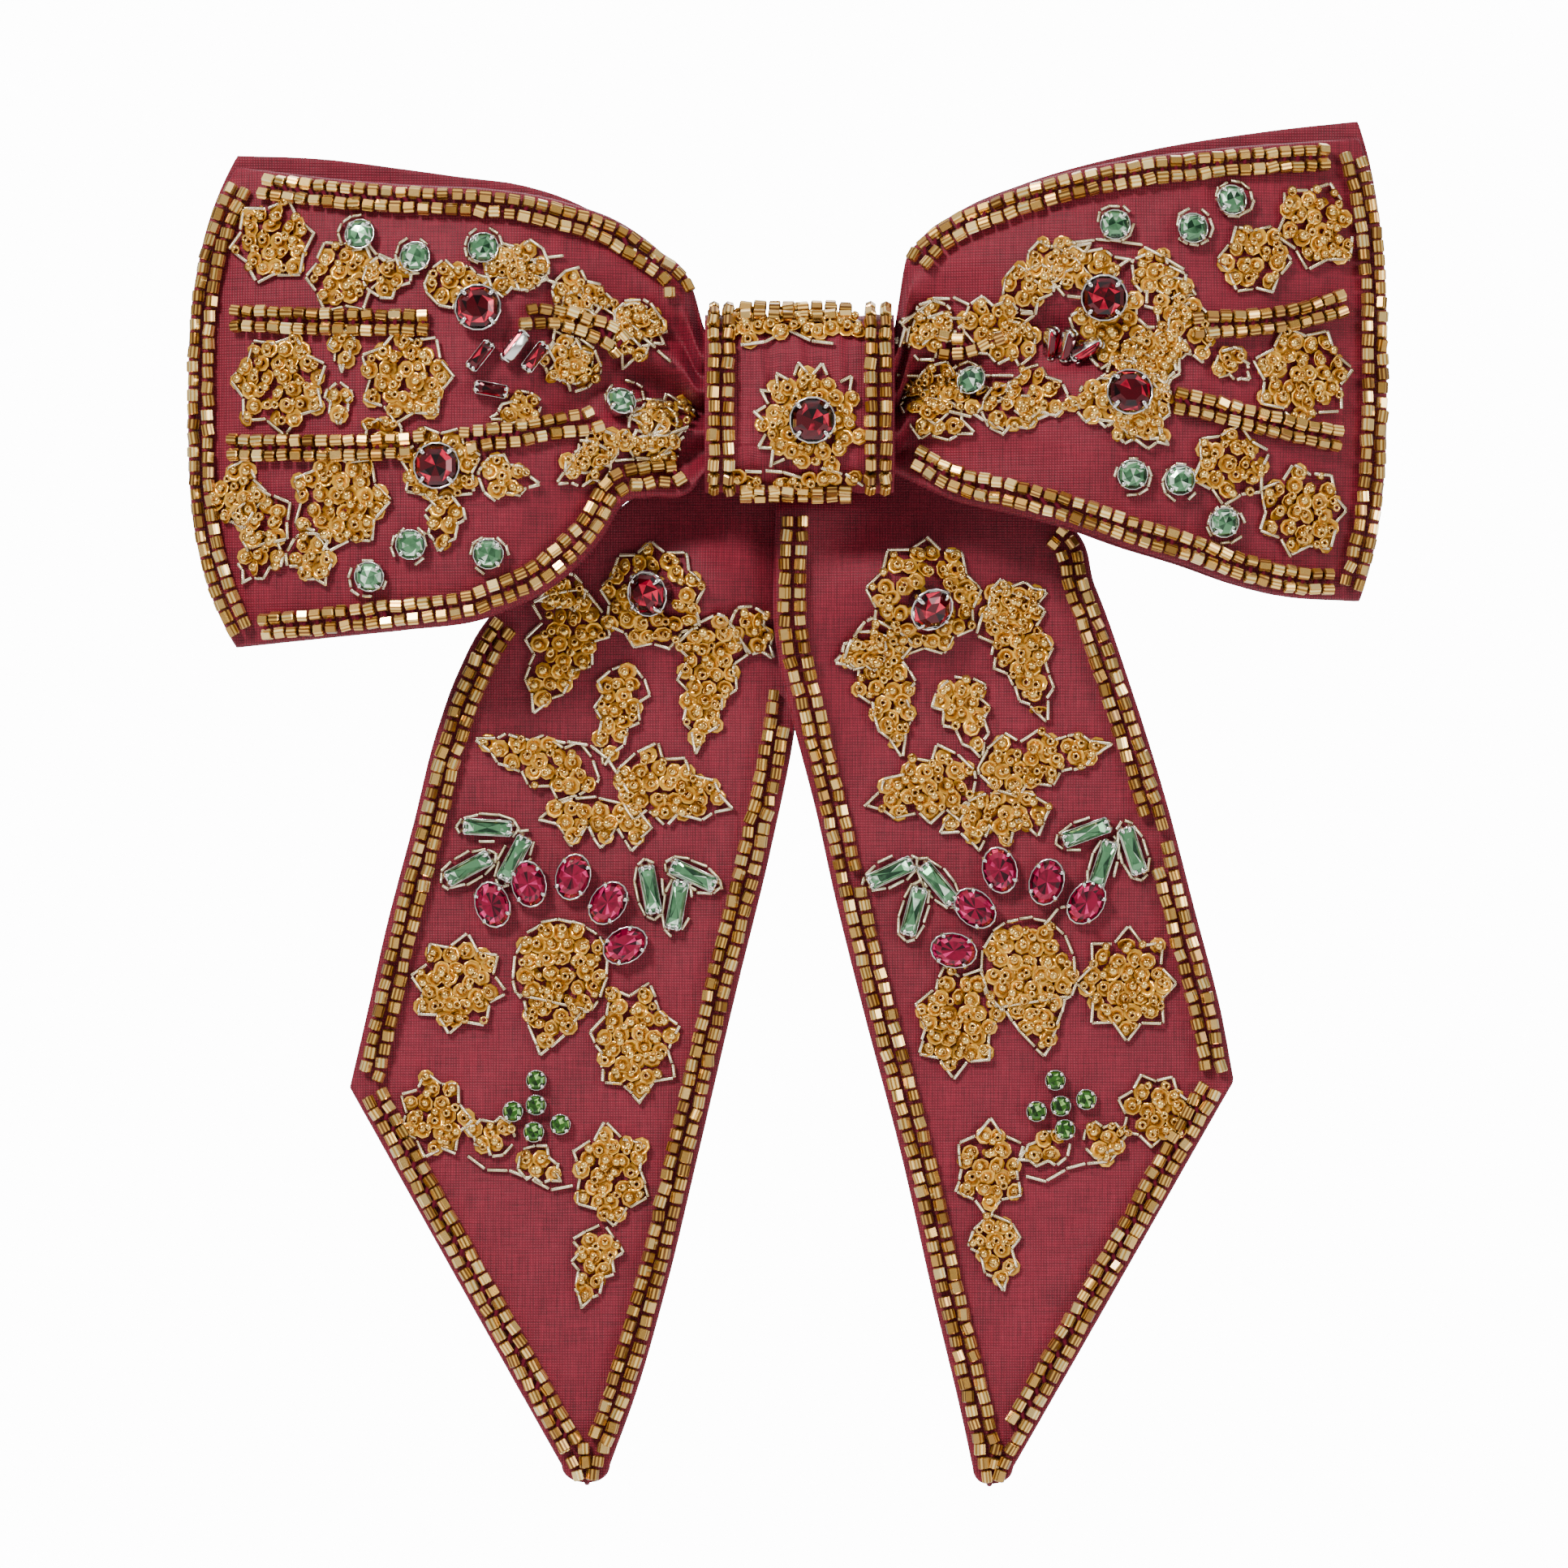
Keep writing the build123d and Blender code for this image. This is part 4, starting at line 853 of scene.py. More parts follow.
def gem_cut(outline, table, crown_height, pavilion):
    """Rings of one outline from the table to the point: flat facets between rings, a flat table."""
    levels = [(table, crown_height + girdle), ((1 + table) / 2 + 0.05, girdle + crown_height * 0.55),
              (1.0, girdle), (1.0, 0.0), (0.5, -pavilion * 0.6)]
    rings = outline_rings(outline, levels)
    count = len(outline)
    points = np.concatenate(rings + [[[0, 0, levels[0][1] + 0.02]], [[0, 0, levels[-1][1]]]])
    quads = grid_faces(len(rings), count, closed=True)
    tris = np.concatenate([quads[:, [1, 2, 3]], quads[:, [0, 1, 3]]])
    around = np.arange(count)
    nxt, last = (around + 1) % count, (len(rings) - 1) * count
    top = np.stack([np.full(count, len(points) - 2), around, nxt], axis=1)
    low = np.stack([np.full(count, len(points) - 1), last + nxt, last + around], axis=1)
    return points, np.concatenate([tris, top, low])


def ring_outline(count, x_half, y_half, power=2.0):
    """Points on a superellipse."""
    angle = (np.arange(count) + 0.5) * 2 * math.pi / count
    size = (np.abs(np.cos(angle)) ** power + np.abs(np.sin(angle)) ** power) ** (-1 / power)
    return np.stack([x_half * size * np.cos(angle), y_half * size * np.sin(angle)], axis=1)


def oblong_outline(x_half, y_half, clip):
    """An oblong with clipped corners."""
    x, y = x_half - clip, y_half - clip
    return np.array([(x_half, -y), (x_half, y), (x, y_half), (-x, y_half), (-x_half, y), (-x_half, -y),
                     (-x, -y_half), (x, -y_half)])


def setting(outline, depth, prongs, rise, lean):
    """An open cup with a rolled rim, and prongs that stand beside the stone and bend over its edge.

    The cup is rings of the stone's outline. A prong is an oblong ring carried up a path of
    (share of its foot's reach, height, half width)."""
    wall = outline_rings(outline, [
        (0.02, -depth), (0.86, -depth), (1.0, -depth + 0.25), (1.10, -0.1), (1.13, 0.05), (1.06, 0.1),
        (1.02, -0.05), (0.80, -depth + 0.2), (0.02, -depth + 0.2)])
    points = [np.concatenate(wall)]
    faces = [ring_faces(len(wall), len(outline))]
    reach = np.linalg.norm(prongs, axis=1, keepdims=True)
    for spot, out in zip(prongs, prongs / reach):
        side = np.array([-out[1], out[0]])
        path = [(1.10, -0.9, 0.30), (1.16, 0.0, 0.30), (1.13, rise * 0.6, 0.28),
                (1.13 - lean * 0.6, rise, 0.26), (1.13 - lean, rise + 0.08, 0.18),
                (1.13 - lean * 1.15, rise - 0.02, 0.02)]
        ring = []
        for scale, height, width in path:
            middle = spot * scale
            tilt = 0.18 * (height > rise * 0.8)
            for a, b in ((-1, -0.5), (1, -0.5), (1, 0.5), (-1, 0.5)):
                ring.append([*(middle + side * width * a + out * 0.22 * b), height + tilt * b])
        start = sum(len(p) for p in points)
        points.append(np.array(ring))
        ends = np.array([np.arange(4), len(ring) - 1 - np.arange(4)])
        faces.append(np.concatenate([grid_faces(len(path), 4, closed=True), ends]) + start)
    return np.concatenate(points), np.concatenate(faces)


def girdle_frames(node, long_axis):
    """The middle of each stone's highest face, and frames whose Z is its normal.

    A long stone's normal is its shortest axis and its X the longest. A round one's normal is the axis
    left over by the two whose spans are most alike."""
    centres, frames = [], []
    for solid in solids_of(node):
        centre = solid.mean(axis=0)
        _, _, axes = np.linalg.svd(solid - centre, full_matrices=False)
        spans = np.ptp((solid - centre) @ axes.T, axis=0)
        order = np.argsort(-spans)
        if long_axis:
            normal, lead = axes[order[2]], axes[order[0]]
        else:
            pair = [(abs(spans[a] - spans[b]), 3 - a - b) for a, b in ((0, 1), (0, 2), (1, 2))]
            normal, lead = axes[min(pair)[1]], np.array([1.0, 0, 0])
        if normal[1] > 0:
            normal = -normal
        reach = (solid - centre) @ normal
        girdle = solid[reach > reach.max() - 1e-3].mean(axis=0)
        centres.append(girdle)
        frames.append(frames_from(normal[None], lead[None])[0])
    return np.array(centres), np.array(frames)


def make_stones(node, cut, holder, crown_top, glass, slot, long_axis=False):
    """Cut stones and their settings at the frame's stones; the frame's stone top is the table."""
    top, frames = girdle_frames(node, long_axis)
    origin = top - frames[:, :, 2] * crown_top
    points, faces = scatter(cut, origin, frames)
    facet = np.tile(rng.uniform(0, 1, len(cut[1])), len(top))
    facet = np.clip(facet + rng.normal(scale=0.22, size=len(facet)), 0, 1)
    piece(f"{node}_cut", points, faces, glass, slot, smooth=False, replaces=(node,), facet=facet)
    points, faces = scatter(holder, origin, frames)
    piece(f"{node}_settings", points, faces, SILVER, "silver_settings", replaces=(f"{node}_cups",))


def four(x, y):
    """The feet of four prongs."""
    return np.array([(sx * x, sy * y) for sx in (-1, 1) for sy in (-1, 1)])


def round_stones(node, diameter, glass, slot):
    """Round stones in four-pronged cups."""
    ring = ring_outline(16, diameter / 2, diameter / 2)
    at = diameter / 2 * math.sqrt(0.5)
    crown_height, pavilion = 0.17 * diameter, 0.32 * diameter
    cut = gem_cut(ring_outline(8, diameter / 2, diameter / 2), 0.55, crown_height, pavilion)
    holder = setting(ring, pavilion + cup_room, four(at, at), crown_height, 0.34)
    make_stones(node, cut, holder, crown_height + girdle, glass, slot)


def long_stones(node, outline, prongs, crown_height, pavilion, glass, slot):
    """Oval or oblong stones in cups of their own outline."""
    cut = gem_cut(outline, 0.6, crown_height, pavilion)
    holder = setting(outline, pavilion + cup_room, prongs, crown_height, 0.22)
    make_stones(node, cut, holder, crown_height + girdle, glass, slot, long_axis=True)


# ---------------------------------------------------------------- embroidery
sequin_pitch, seed_pitch = 2.1, 2.5
wire_radius, wire_longest, line_step = 0.30, 3.4, 3.0
# Least and greatest height above the cloth.
SEQUIN_LIFT, SEED_LIFT, WIRE_LIFT = (0.30, 0.65), (0.70, 1.15), (0.42, 0.85)

# Each small shape is a turned profile, with one number for each of its rings: the share of the painted
# rim highlight on a sequin or a seed bead, and the place along a wire.
SEQUIN_CUP = turned([(0.42, 0.0), (0.9, 0.04), (1.32, 0.24), (1.30, 0.34), (0.9, 0.16),
                     (0.42, 0.12)], 8)
SEQUIN_RIM_HIGHLIGHT = np.repeat([0.0, 0.15, 0.9, 1.0, 0.35, 0.0], 8)
SEED = turned([(0.26, -0.42), (0.50, -0.55), (0.66, 0.0), (0.50, 0.55), (0.26, 0.42)], 8)
SEED_RIM_HIGHLIGHT = np.repeat([0.0, 0.35, 1.0, 0.35, 0.0], 8)
WIRE = turned([(0.02, -0.5), (0.75, -0.49), (1.0, -0.44), (1.0, 0.44), (0.75, 0.49), (0.02, 0.5)], 6)
WIRE_RUN = np.repeat([-0.5, -0.49, -0.44, 0.44, 0.49, 0.5], 6)

# Upper edges along X, as shares of the length and of half the width.
LEAF_EDGE = {3: [(0.0, 0.10), (0.10, 0.62), (0.24, 1.0), (0.33, 0.62), (0.50, 0.86), (0.58, 0.50),
                 (0.78, 0.50), (0.84, 0.24)],
             2: [(0.0, 0.14), (0.14, 0.75), (0.36, 1.0), (0.46, 0.60), (0.72, 0.62), (0.80, 0.26)]}
ACORN_EDGE = [(0.0, 0.30), (0.05, 0.62), (0.16, 0.90), (0.32, 1.0), (0.50, 0.96), (0.60, 0.80),
              (0.62, 0.66), (0.80, 0.40), (0.93, 0.14)]
CAP_RIM = 5             # the acorn's edge point where its cap ends


def mirrored(edge, length, width):
    """An upper edge, the point at its far end, and the edge again below."""
    side = np.array(edge) * [length, width / 2]
    return np.concatenate([side, [[length, 0]], side[::-1] * [1, -1]])


def leaf(length, width, lobes=3):
    """A pointed leaf along X from 0: its edge rises to a tip at each lobe and steps in behind it."""
    return mirrored(LEAF_EDGE[lobes], length, width)


def star(points, outer, inner, stretch=1.0):
    """Alternate long and short radii; the stretch lengthens it along X."""
    angle = np.arange(2 * points) * math.pi / points
    radius = np.where(np.arange(2 * points) % 2 == 0, outer, inner)
    return np.stack([radius * np.cos(angle) * stretch, radius * np.sin(angle)], axis=1)


def acorn(length, width):
    """A round-shouldered cap at X 0 that narrows by a step to a pointed nut."""
    return mirrored(ACORN_EDGE, length, width)


def crescent(length, width):
    """An arch along X with a smooth back and lobes on its hollow side."""
    end = 1.15
    angle = np.linspace(-end, end, 7)
    back = np.stack([length / 2 * np.sin(angle) / np.sin(end), width * (np.cos(angle) - 0.4)], axis=1)
    share = np.linspace(1, -1, 8)[1:-1]
    drop = np.where(np.arange(6) % 2 == 0, -0.55, -0.05)
    hollow = np.stack([length / 2 * share * 0.92, width * drop], axis=1)
    return np.concatenate([back, hollow])


def placed(outline, x, z, turn):
    """An outline turned by degrees and moved to its place."""
    a = math.radians(turn)
    return outline @ np.array([[math.cos(a), math.sin(a)], [-math.sin(a), math.cos(a)]]) + [x, z]


def inside(outline, spots):
    """Whether each spot is in the outline, by counting the edges that a line to the right crosses."""
    a, b = outline, np.roll(outline, -1, axis=0)
    x, z = spots[:, :1], spots[:, 1:]
    spans = (a[:, 1] > z) != (b[:, 1] > z)
    climb = np.where(a[:, 1] == b[:, 1], 1, b[:, 1] - a[:, 1])
    crossing = a[:, 0] + (z - a[:, 1]) * (b[:, 0] - a[:, 0]) / climb
    return (spans & (x < crossing)).sum(axis=1) % 2 == 1


def filled(outline, pitch, hole=None):
    """Spots of a shaken triangular net that lie in the outline and outside the round hole."""
    low, high = outline.min(axis=0) - pitch, outline.max(axis=0) + pitch
    row = pitch * 0.87
    z, x = np.mgrid[low[1]:high[1]:row, low[0]:high[0]:pitch]
    x = x + (np.round((z - low[1]) / row) % 2) * pitch / 2
    spots = np.stack([x.ravel(), z.ravel()], axis=1) + rng.uniform(-0.2, 0.2, (x.size, 2)) * pitch
    keep = inside(outline, spots)
    if hole:
        keep &= np.hypot(spots[:, 0] - hole[0], spots[:, 1] - hole[1]) > hole[2]
    return spots[keep]


def outline_wires(outline):
    """Ends of the wires along an outline: each edge but the shortest, cut into equal pieces."""
    shortest = 0.8
    a, b = outline, np.roll(outline, -1, axis=0)
    starts, stops = [], []
    for p, q in zip(a, b):
        length = np.linalg.norm(q - p)
        count = max(1, math.ceil(length / wire_longest))
        spots = p + (q - p) * np.linspace(0, 1, count + 1)[:, None]
        if length > shortest:
            starts.append(spots[:-1])
            stops.append(spots[1:])
    return np.concatenate(starts), np.concatenate(stops)


class Embroidery:
    """Sequins, seed beads and wires gathered for one part of the bow."""

    def __init__(self, name, depth_at, holds=None):
        self.name, self.depth_at = name, depth_at
        self.holds = holds or (lambda spots: np.full(len(spots), True))
        self.sequins, self.seeds, self.wires = [], [], []

    def fill(self, outline, hole=None, wire=True, pitch=sequin_pitch):
        """Sequins in the outline with a seed bead on each, more beads between, and wire round it."""
        middle = outline.mean(axis=0)
        spots = filled(middle + (outline - middle) * 0.95, pitch, hole)
        if len(spots) == 0:
            spots = middle[None]
        self.sequins.append(spots)
        self.seeds.append(spots + rng.normal(scale=0.18, size=spots.shape))
        self.seeds.append(filled(middle + (outline - middle) * 0.98, seed_pitch, hole))
        if wire:
            self.wire(*outline_wires(outline))

    def wire(self, starts, stops):
        """Straight wires between these places."""
        self.wires.append((starts, stops))

    def line(self, points):
        """Wires end to end along a smooth line through the points."""
        points = np.array(points, float)
        at = np.concatenate([[0], np.cumsum(np.linalg.norm(np.diff(points, axis=0), axis=1))])
        count = max(1, round(at[-1] / line_step))
        run = np.linspace(0, at[-1], count + 1)
        path = np.stack([smooth_line(np.stack([at, line], axis=1), run) for line in points.T], axis=1)
        self.wire(path[:-1], path[1:])

    def lift(self, spots, height):
        """Points above the cloth and the cloth's normals there."""
        points, normals = on_cloth(self.depth_at, spots[:, 0], spots[:, 1])
        return points + normals * np.asarray(height).reshape(-1, 1), normals

    def strew(self, kind, spots, shape, rim, material, lifts, upright, shake, scales, tones):
        """Copies of a shape on the cloth, each lifted, leaning, scaled and toned by chance."""
        spots = np.concatenate(spots)
        spots = spots[self.holds(spots)]
        count = len(spots)
        points, normals = self.lift(spots, rng.uniform(*lifts, count))
        if upright[0] != upright[1]:
            normals = normals * rng.uniform(*upright, (count, 1))
        lean = normals + rng.normal(scale=shake, size=normals.shape)
        made, faces = scatter(shape, points, frames_from(lean), rng.uniform(*scales, count))
        piece(f"{self.name}_{kind}", made, faces, material, "gold_glass_beads",
              tint=per_copy(rng.beta(*tones, count), shape), rim=np.tile(rim, count))

    def sew(self):
        """Make the three pieces."""
        self.strew("sequins", self.sequins, SEQUIN_CUP, SEQUIN_RIM_HIGHLIGHT, SEQUIN, SEQUIN_LIFT, (1, 1), 0.26,
                   (0.85, 1.02), (2.0, 1.8))
        self.strew("seed_beads", self.seeds, SEED, SEED_RIM_HIGHLIGHT, SEED_BEAD, SEED_LIFT, (0.2, 1.6), 0.8,
                   (0.85, 1.08), (1.5, 1.5))
        starts = np.concatenate([a for a, _ in self.wires])
        stops = np.concatenate([b for _, b in self.wires])
        kept = self.holds(starts) & self.holds(stops)
        starts, stops = starts[kept], stops[kept]
        count = len(starts)
        height = rng.uniform(*WIRE_LIFT, count)
        first, _ = self.lift(starts + rng.normal(scale=0.10, size=starts.shape), height)
        stops = stops + rng.normal(scale=0.10, size=stops.shape)
        second, _ = self.lift(stops, height + rng.uniform(-0.1, 0.25, count))
        length = np.linalg.norm(second - first, axis=1)
        size = np.stack([np.full(count, wire_radius)] * 2 + [length * 0.93], axis=1)
        made, faces = scatter(WIRE, (first + second) / 2, frames_from(second - first), size)
        piece(f"{self.name}_purl_wires", made, faces, PURL, "silver_settings",
              tint=per_copy(rng.uniform(0, 1, count), WIRE),
              run=np.tile(WIRE_RUN, count) * np.repeat(length, len(WIRE_RUN)))


def loop_holds(side):
    """Whether spots lie on a loop's front, clear of its edges."""
    def holds(spots):
        along, up = loop_shares(side, spots[:, 0], spots[:, 1])
        clear = (along < 0.965) & (up > 0.05) & (up < 0.95)
        return clear & (np.abs(spots[:, 0]) > knot_width / 2 - 0.5)
    return holds


def tail_holds(side):
    """Whether spots lie on a tail's face, clear of its edges."""
    def holds(spots):
        down = -spots[:, 1] / tail_length[side]
        inner, _ = tail_place(side, 0.0, down)
        outer, _ = tail_place(side, 1.0, down)
        share = (spots[:, 0] - inner) / (outer - inner)
        return (share > 0.04) & (share < 0.96)
    return holds


# Motifs as (x, z, length, width, turn), except that a star has its radius, and its stretch on a tail,
# then its points and turn. Leaves and acorns start at their stalk; the rest lie about their middle.
LOOP_LEAVES = {
    LEFT: [(-49.5, 15.0, 8.5, 6.5, 8), (-41.5, 17.5, 8.0, 6.5, -8), (-33.0, 15.5, 8.5, 6.5, -14),
           (-24.5, 12.5, 8.0, 6.0, -38), (-14.5, -1.0, 8.5, 6.5, 188), (-16.0, -6.0, 8.5, 5.5, 172),
           (-24.5, -4.5, 8.5, 5.0, 215), (-30.5, 9.5, 6.5, 6.0, 80), (-29.5, 3.0, 7.5, 6.0, 115),
           (-33.5, 17.5, 9, 7, 170), (-20.5, 14.0, 9.5, 7.5, 250), (-57.5, 15.5, 8, 6, 20),
           (-27.0, 4.5, 8.5, 7, 170), (-34.5, 0.0, 7, 5, 200), (-16.5, -2.5, 8, 6, 195),
           (-25.5, -6.5, 8, 6, 210), (-53, -5.5, 5.5, 5, 150), (-42.5, -9.5, 8, 6, -10),
           (-46.5, -12.5, 7.5, 5.5, -100), (-60.5, 9.6, 5.6, 3.6, -90), (-61.0, 2.6, 5.6, 3.6, -90),
           (-70, -17.5, 7.5, 6.5, 235), (-66.5, -17.5, 7.5, 6.5, -60)],
    RIGHT: [(27.5, 14.0, 8.5, 6.5, 24), (33.5, 16.5, 10.5, 7.0, 12), (44.0, 18.5, 9.5, 6.0, -28),
            (50.5, 13.0, 8.5, 6.0, -70), (46.5, 10.0, 9.0, 8.0, -82), (31.5, 9.0, 8.0, 6.5, -165),
            (13.8, 8.0, 9.5, 6.0, 22), (14.2, 0.0, 10.0, 6.5, -22), (24.5, -0.5, 9.0, 6.5, -8),
            (43.5, -3.5, 7.5, 7.0, 40), (37.5, 1.5, 7.5, 6.5, -35),
            (30.5, 17.0, 9, 6.5, 25), (48.0, 16.5, 8.5, 6.5, -75), (22.0, 10.5, 9.5, 7, 10),
            (20.0, 13.0, 8.5, 6.0, 215), (48.5, 9.5, 8, 6, -90), (14.5, 2.5, 13, 9, -10),
            (28.0, 2.0, 9.5, 7, -15), (42.0, -1.5, 8, 6, -30), (55.5, 6.5, 5.5, 4.5, -40)],
}
LOOP_STARS = {
    LEFT: [(-70.1, 21.7, 5.9, 6, 10), (-60.3, 16.8, 5.4, 6, 0), (-69.0, 2.7, 6.8, 7, 20),
           (-52.0, 3.3, 6.4, 7, 0), (-47.6, -8.5, 5.6, 7, 12), (-75.2, -12.0, 4.6, 5, 0),
           (-71.2, -15.2, 4.3, 5, 30), (-60.9, -13.0, 6.8, 7, 0)],
    RIGHT: [(69.0, 23.9, 6.2, 6, 15), (60.3, 19.0, 5.0, 6, 0), (66.8, 3.8, 6.9, 7, 10),
            (57.1, -8.2, 5.4, 6, 20), (66.8, -14.1, 6.3, 7, 0), (41.0, 9.5, 5.6, 7, 0),
            (43.6, 0.9, 5.2, 7, 12)],
}
LOOP_WIRES = {
    LEFT: [[(-37.5, 17.4), (-31.0, 15.2), (-24.0, 11.0), (-16.8, 5.4)],
           [(-24.5, -0.5), (-20.0, 0.6), (-15.0, -1.6)], [(-25.5, -4.8), (-20.0, -4.0), (-14.8, -3.4)],
           [(-25.0, -7.5), (-19.5, -7.0), (-15.2, -3.8)], [(-44.5, 20.0), (-38.0, 18.6), (-31.5, 19.4)],
           [(-58.0, 21.5), (-55.0, 19.0), (-50.5, 18.2)]],
    RIGHT: [[(13.0, 7.5), (15.0, 12.5), (19.5, 14.6), (23.0, 13.2)],
            [(14.0, 1.0), (20.0, 0.0), (27.5, -3.5)], [(13.2, 4.0), (21.0, 4.4), (29.0, 3.2)],
            [(33.0, 20.5), (39.0, 21.4), (45.0, 20.6), (51.0, 17.5)],
            [(13.5, 14.0), (17.5, 12.0), (22.0, 7.0)], [(34.2, 20.5), (38.5, 17.0), (40.5, 12.5)]],
}
TAIL_FLOWERS = {LEFT: (-19.7, -25.4, 7.2, (-19.3, -24.8)), RIGHT: (16.8, -25.6, 7.8, (16.9, -26.4))}
TAIL_LEAVES = {
    LEFT: [(-29.0, -24.5, 18.0, 11.5, 247), (-29.0, -24.0, 6.5, 5.5, 195), (-11.0, -27.5, 19.5, 9.5, 261),
           (-9.0, -27.0, 8.5, 6.0, -50), (-23.0, -34.5, 14.0, 7.5, 256), (-27.3, -50.2, 17.5, 8.5, 161),
           (-24.6, -49.2, 16.5, 11.0, -17), (-38.6, -99.0, 7.0, 5.5, 165), (-37.5, -100.6, 6.5, 5.5, -35),
           (-26.6, -110.5, 11.5, 7.0, 256)],
    RIGHT: [(27.0, -24.5, 19.0, 10.0, -70), (25.5, -27.5, 8.5, 7.5, 20), (9.5, -28.0, 19.5, 9.5, -77),
            (11.5, -31.5, 7.5, 6.0, 200), (20.5, -36.2, 11.5, 8.0, -68), (24.3, -49.0, 18.5, 9.0, 12),
            (23.8, -49.4, 15.5, 11.0, 196), (38.5, -99.5, 6.5, 5.5, 15), (36.5, -99.0, 7.5, 5.0, 200),
            (25.8, -109.0, 10.5, 7.0, -80)],
}
TAIL_ACORNS = {LEFT: (-30.8, -69.3, 18.6, 12.6, 257), RIGHT: (29.8, -69.0, 18.8, 12.6, -80)}
TAIL_ARCHES = {LEFT: [(-27.6, -56.0, 15.5, 6.0, -4)], RIGHT: [(26.6, -55.6, 15.5, 6.4, 14)]}
TAIL_STARS = {
    LEFT: [(-46.2, -77.7, 6.6, 1.05, 8, 80), (-22.2, -85.5, 6.2, 1.35, 7, 275),
           (-49.4, -95.6, 5.0, 1.2, 7, 100), (-25.6, -103.4, 5.6, 1.3, 6, 275)],
    RIGHT: [(21.4, -82.6, 6.0, 1.35, 7, 265), (44.4, -77.6, 6.8, 1.15, 8, 90),
            (48.0, -94.8, 5.2, 1.0, 7, 60), (25.6, -102.6, 5.0, 1.35, 6, 268)],
}
TAIL_WIRES = {
    LEFT: [[(-34.5, -44.5), (-27.0, -46.0), (-23.0, -52.0)],
           [(-45.0, -100.8), (-42.0, -102.9), (-38.0, -103.0), (-34.0, -105.6), (-30.6, -104.8)]],
    RIGHT: [[(30.4, -103.6), (33.5, -104.4), (37.0, -102.2), (41.5, -101.9), (44.0, -99.6)],
            [(33.0, -70.0), (36.5, -66.5), (40.5, -68.5)]],
}


def embroider_loop(side):
    """Leaves, stars and petals on a loop."""
    work = Embroidery(f"{SIDES[side]}_loop", loop_depth_at(side), loop_holds(side))
    for x, z, length, width, turn in LOOP_LEAVES[side]:
        work.fill(placed(leaf(length, width, 2), x, z, turn))
    for x, z, outer, points, turn in LOOP_STARS[side]:
        work.fill(placed(star(points, outer, outer * 0.76), x, z, turn))
    for line in LOOP_WIRES[side]:
        work.line(line)
    return work


def embroider_tail(side):
    """The garnet's flower, a pair of long leaves, a spray, and the stars and buds below the stones."""
    work = Embroidery(f"{SIDES[side]}_tail", tail_depth_at(side), tail_holds(side))
    x, z, outer, hole = TAIL_FLOWERS[side]
    work.fill(placed(star(9, outer, outer * 0.82), x, z, 90), hole=(*hole, 3.2))
    for x, z, length, width, turn in TAIL_LEAVES[side]:
        work.fill(placed(leaf(length, width, lobes=3 if length > 11 else 2), x, z, turn))
    for x, z, length, width, turn in TAIL_ARCHES[side]:
        work.fill(placed(crescent(length, width), x, z, turn))
    x, z, length, width, turn = TAIL_ACORNS[side]
    work.fill(placed(acorn(length, width), x, z, turn))
    cap = placed(acorn(length, width), x, z, turn)[[CAP_RIM, 2 * len(ACORN_EDGE) - CAP_RIM]]
    work.wire(cap[:1], cap[1:])
    for x, z, outer, stretch, points, turn in TAIL_STARS[side]:
        work.fill(placed(star(points, outer, outer * 0.74, stretch), x, z, turn))
    for line in TAIL_WIRES[side]:
        work.line(line)
    return work


def knot_depth(x, z):
    """Depth of the knot's front: flat, with a quarter round above and below."""
    past = np.maximum(z - (knot_top - knot_corner), (knot_bottom + knot_corner) - z)
    past = np.clip(past, 0, knot_corner - 0.04)
    return knot_front - knot_corner + np.sqrt(knot_corner ** 2 - past ** 2) + 0 * x


def embroider_knot():
    """A flower round the knot's garnet, a bank of beads on its top ridge and a thinner one below."""
    work = Embroidery("knot", knot_depth)
    x, z = 1.7, -2.5
    work.fill(placed(star(9, 7.3, 6.0), x - 0.2, z + 0.1, 20), hole=(x, z, 3.0), wire=False, pitch=1.9)
    for turn, reach in ((150, 8.1), (128, 8.0), (104, 7.9), (48, 8.0), (172, 7.9), (205, 8.1),
                        (80, 7.8), (225, 7.7)):
        tip = np.array([math.cos(math.radians(turn)), math.sin(math.radians(turn))])
        base = np.array([x, z]) + tip * 6.2
        across = np.array([-tip[1], tip[0]]) * 1.0
        point = np.array([x, z]) + tip * reach
        work.wire(np.array([base - across, base + across]), np.array([point, point]))
    work.fill(np.array([(-9.4, 8.0), (-5, 7.9), (-1.0, 8.9), (3.5, 8.0), (8.6, 8.1), (8.8, 12.3),
                        (-9.6, 12.3)]), wire=False, pitch=1.7)
    work.line([(-8.2, 7.3), (-4.6, 7.7), (-1.6, 9.4)])
    work.line([(-1.4, 9.4), (1.6, 7.9), (4.6, 7.4)])
    work.fill(np.array([(-8.8, -9.3), (-3, -9.8), (2, -9.2), (8.2, -9.6), (8.2, -11.2),
                        (-8.8, -11.2)]), wire=False, pitch=1.9)
    work.line([(-7.5, -8.8), (-3.6, -8.6), (0.4, -9.4)])
    work.line([(2.6, -8.4), (6.4, -9.2), (8.6, -10.4)])
    return work


def ring_stones(work, node, half_length, half_width, keep, side=None):
    """Wire laid as an oval round each stone, or each on one side, with some of its pieces left out."""
    tops, frames = girdle_frames(node, half_length != half_width)
    angle = np.radians(np.arange(0, 361, 36))
    middle = 1.5
    for top, axes in zip(tops, frames):
        lead = axes[[0, 2], 0] / np.linalg.norm(axes[[0, 2], 0])
        aside = np.array([-lead[1], lead[0]])
        ring = top[[0, 2]] + (np.outer(half_length * np.cos(angle), lead)
                              + np.outer(half_width * np.sin(angle), aside))
        kept = rng.random(len(angle) - 1) < keep
        if side is None or (ring[:-1, 0].mean() > middle) == (side == RIGHT):
            work.wire(ring[:-1][kept], ring[1:][kept])


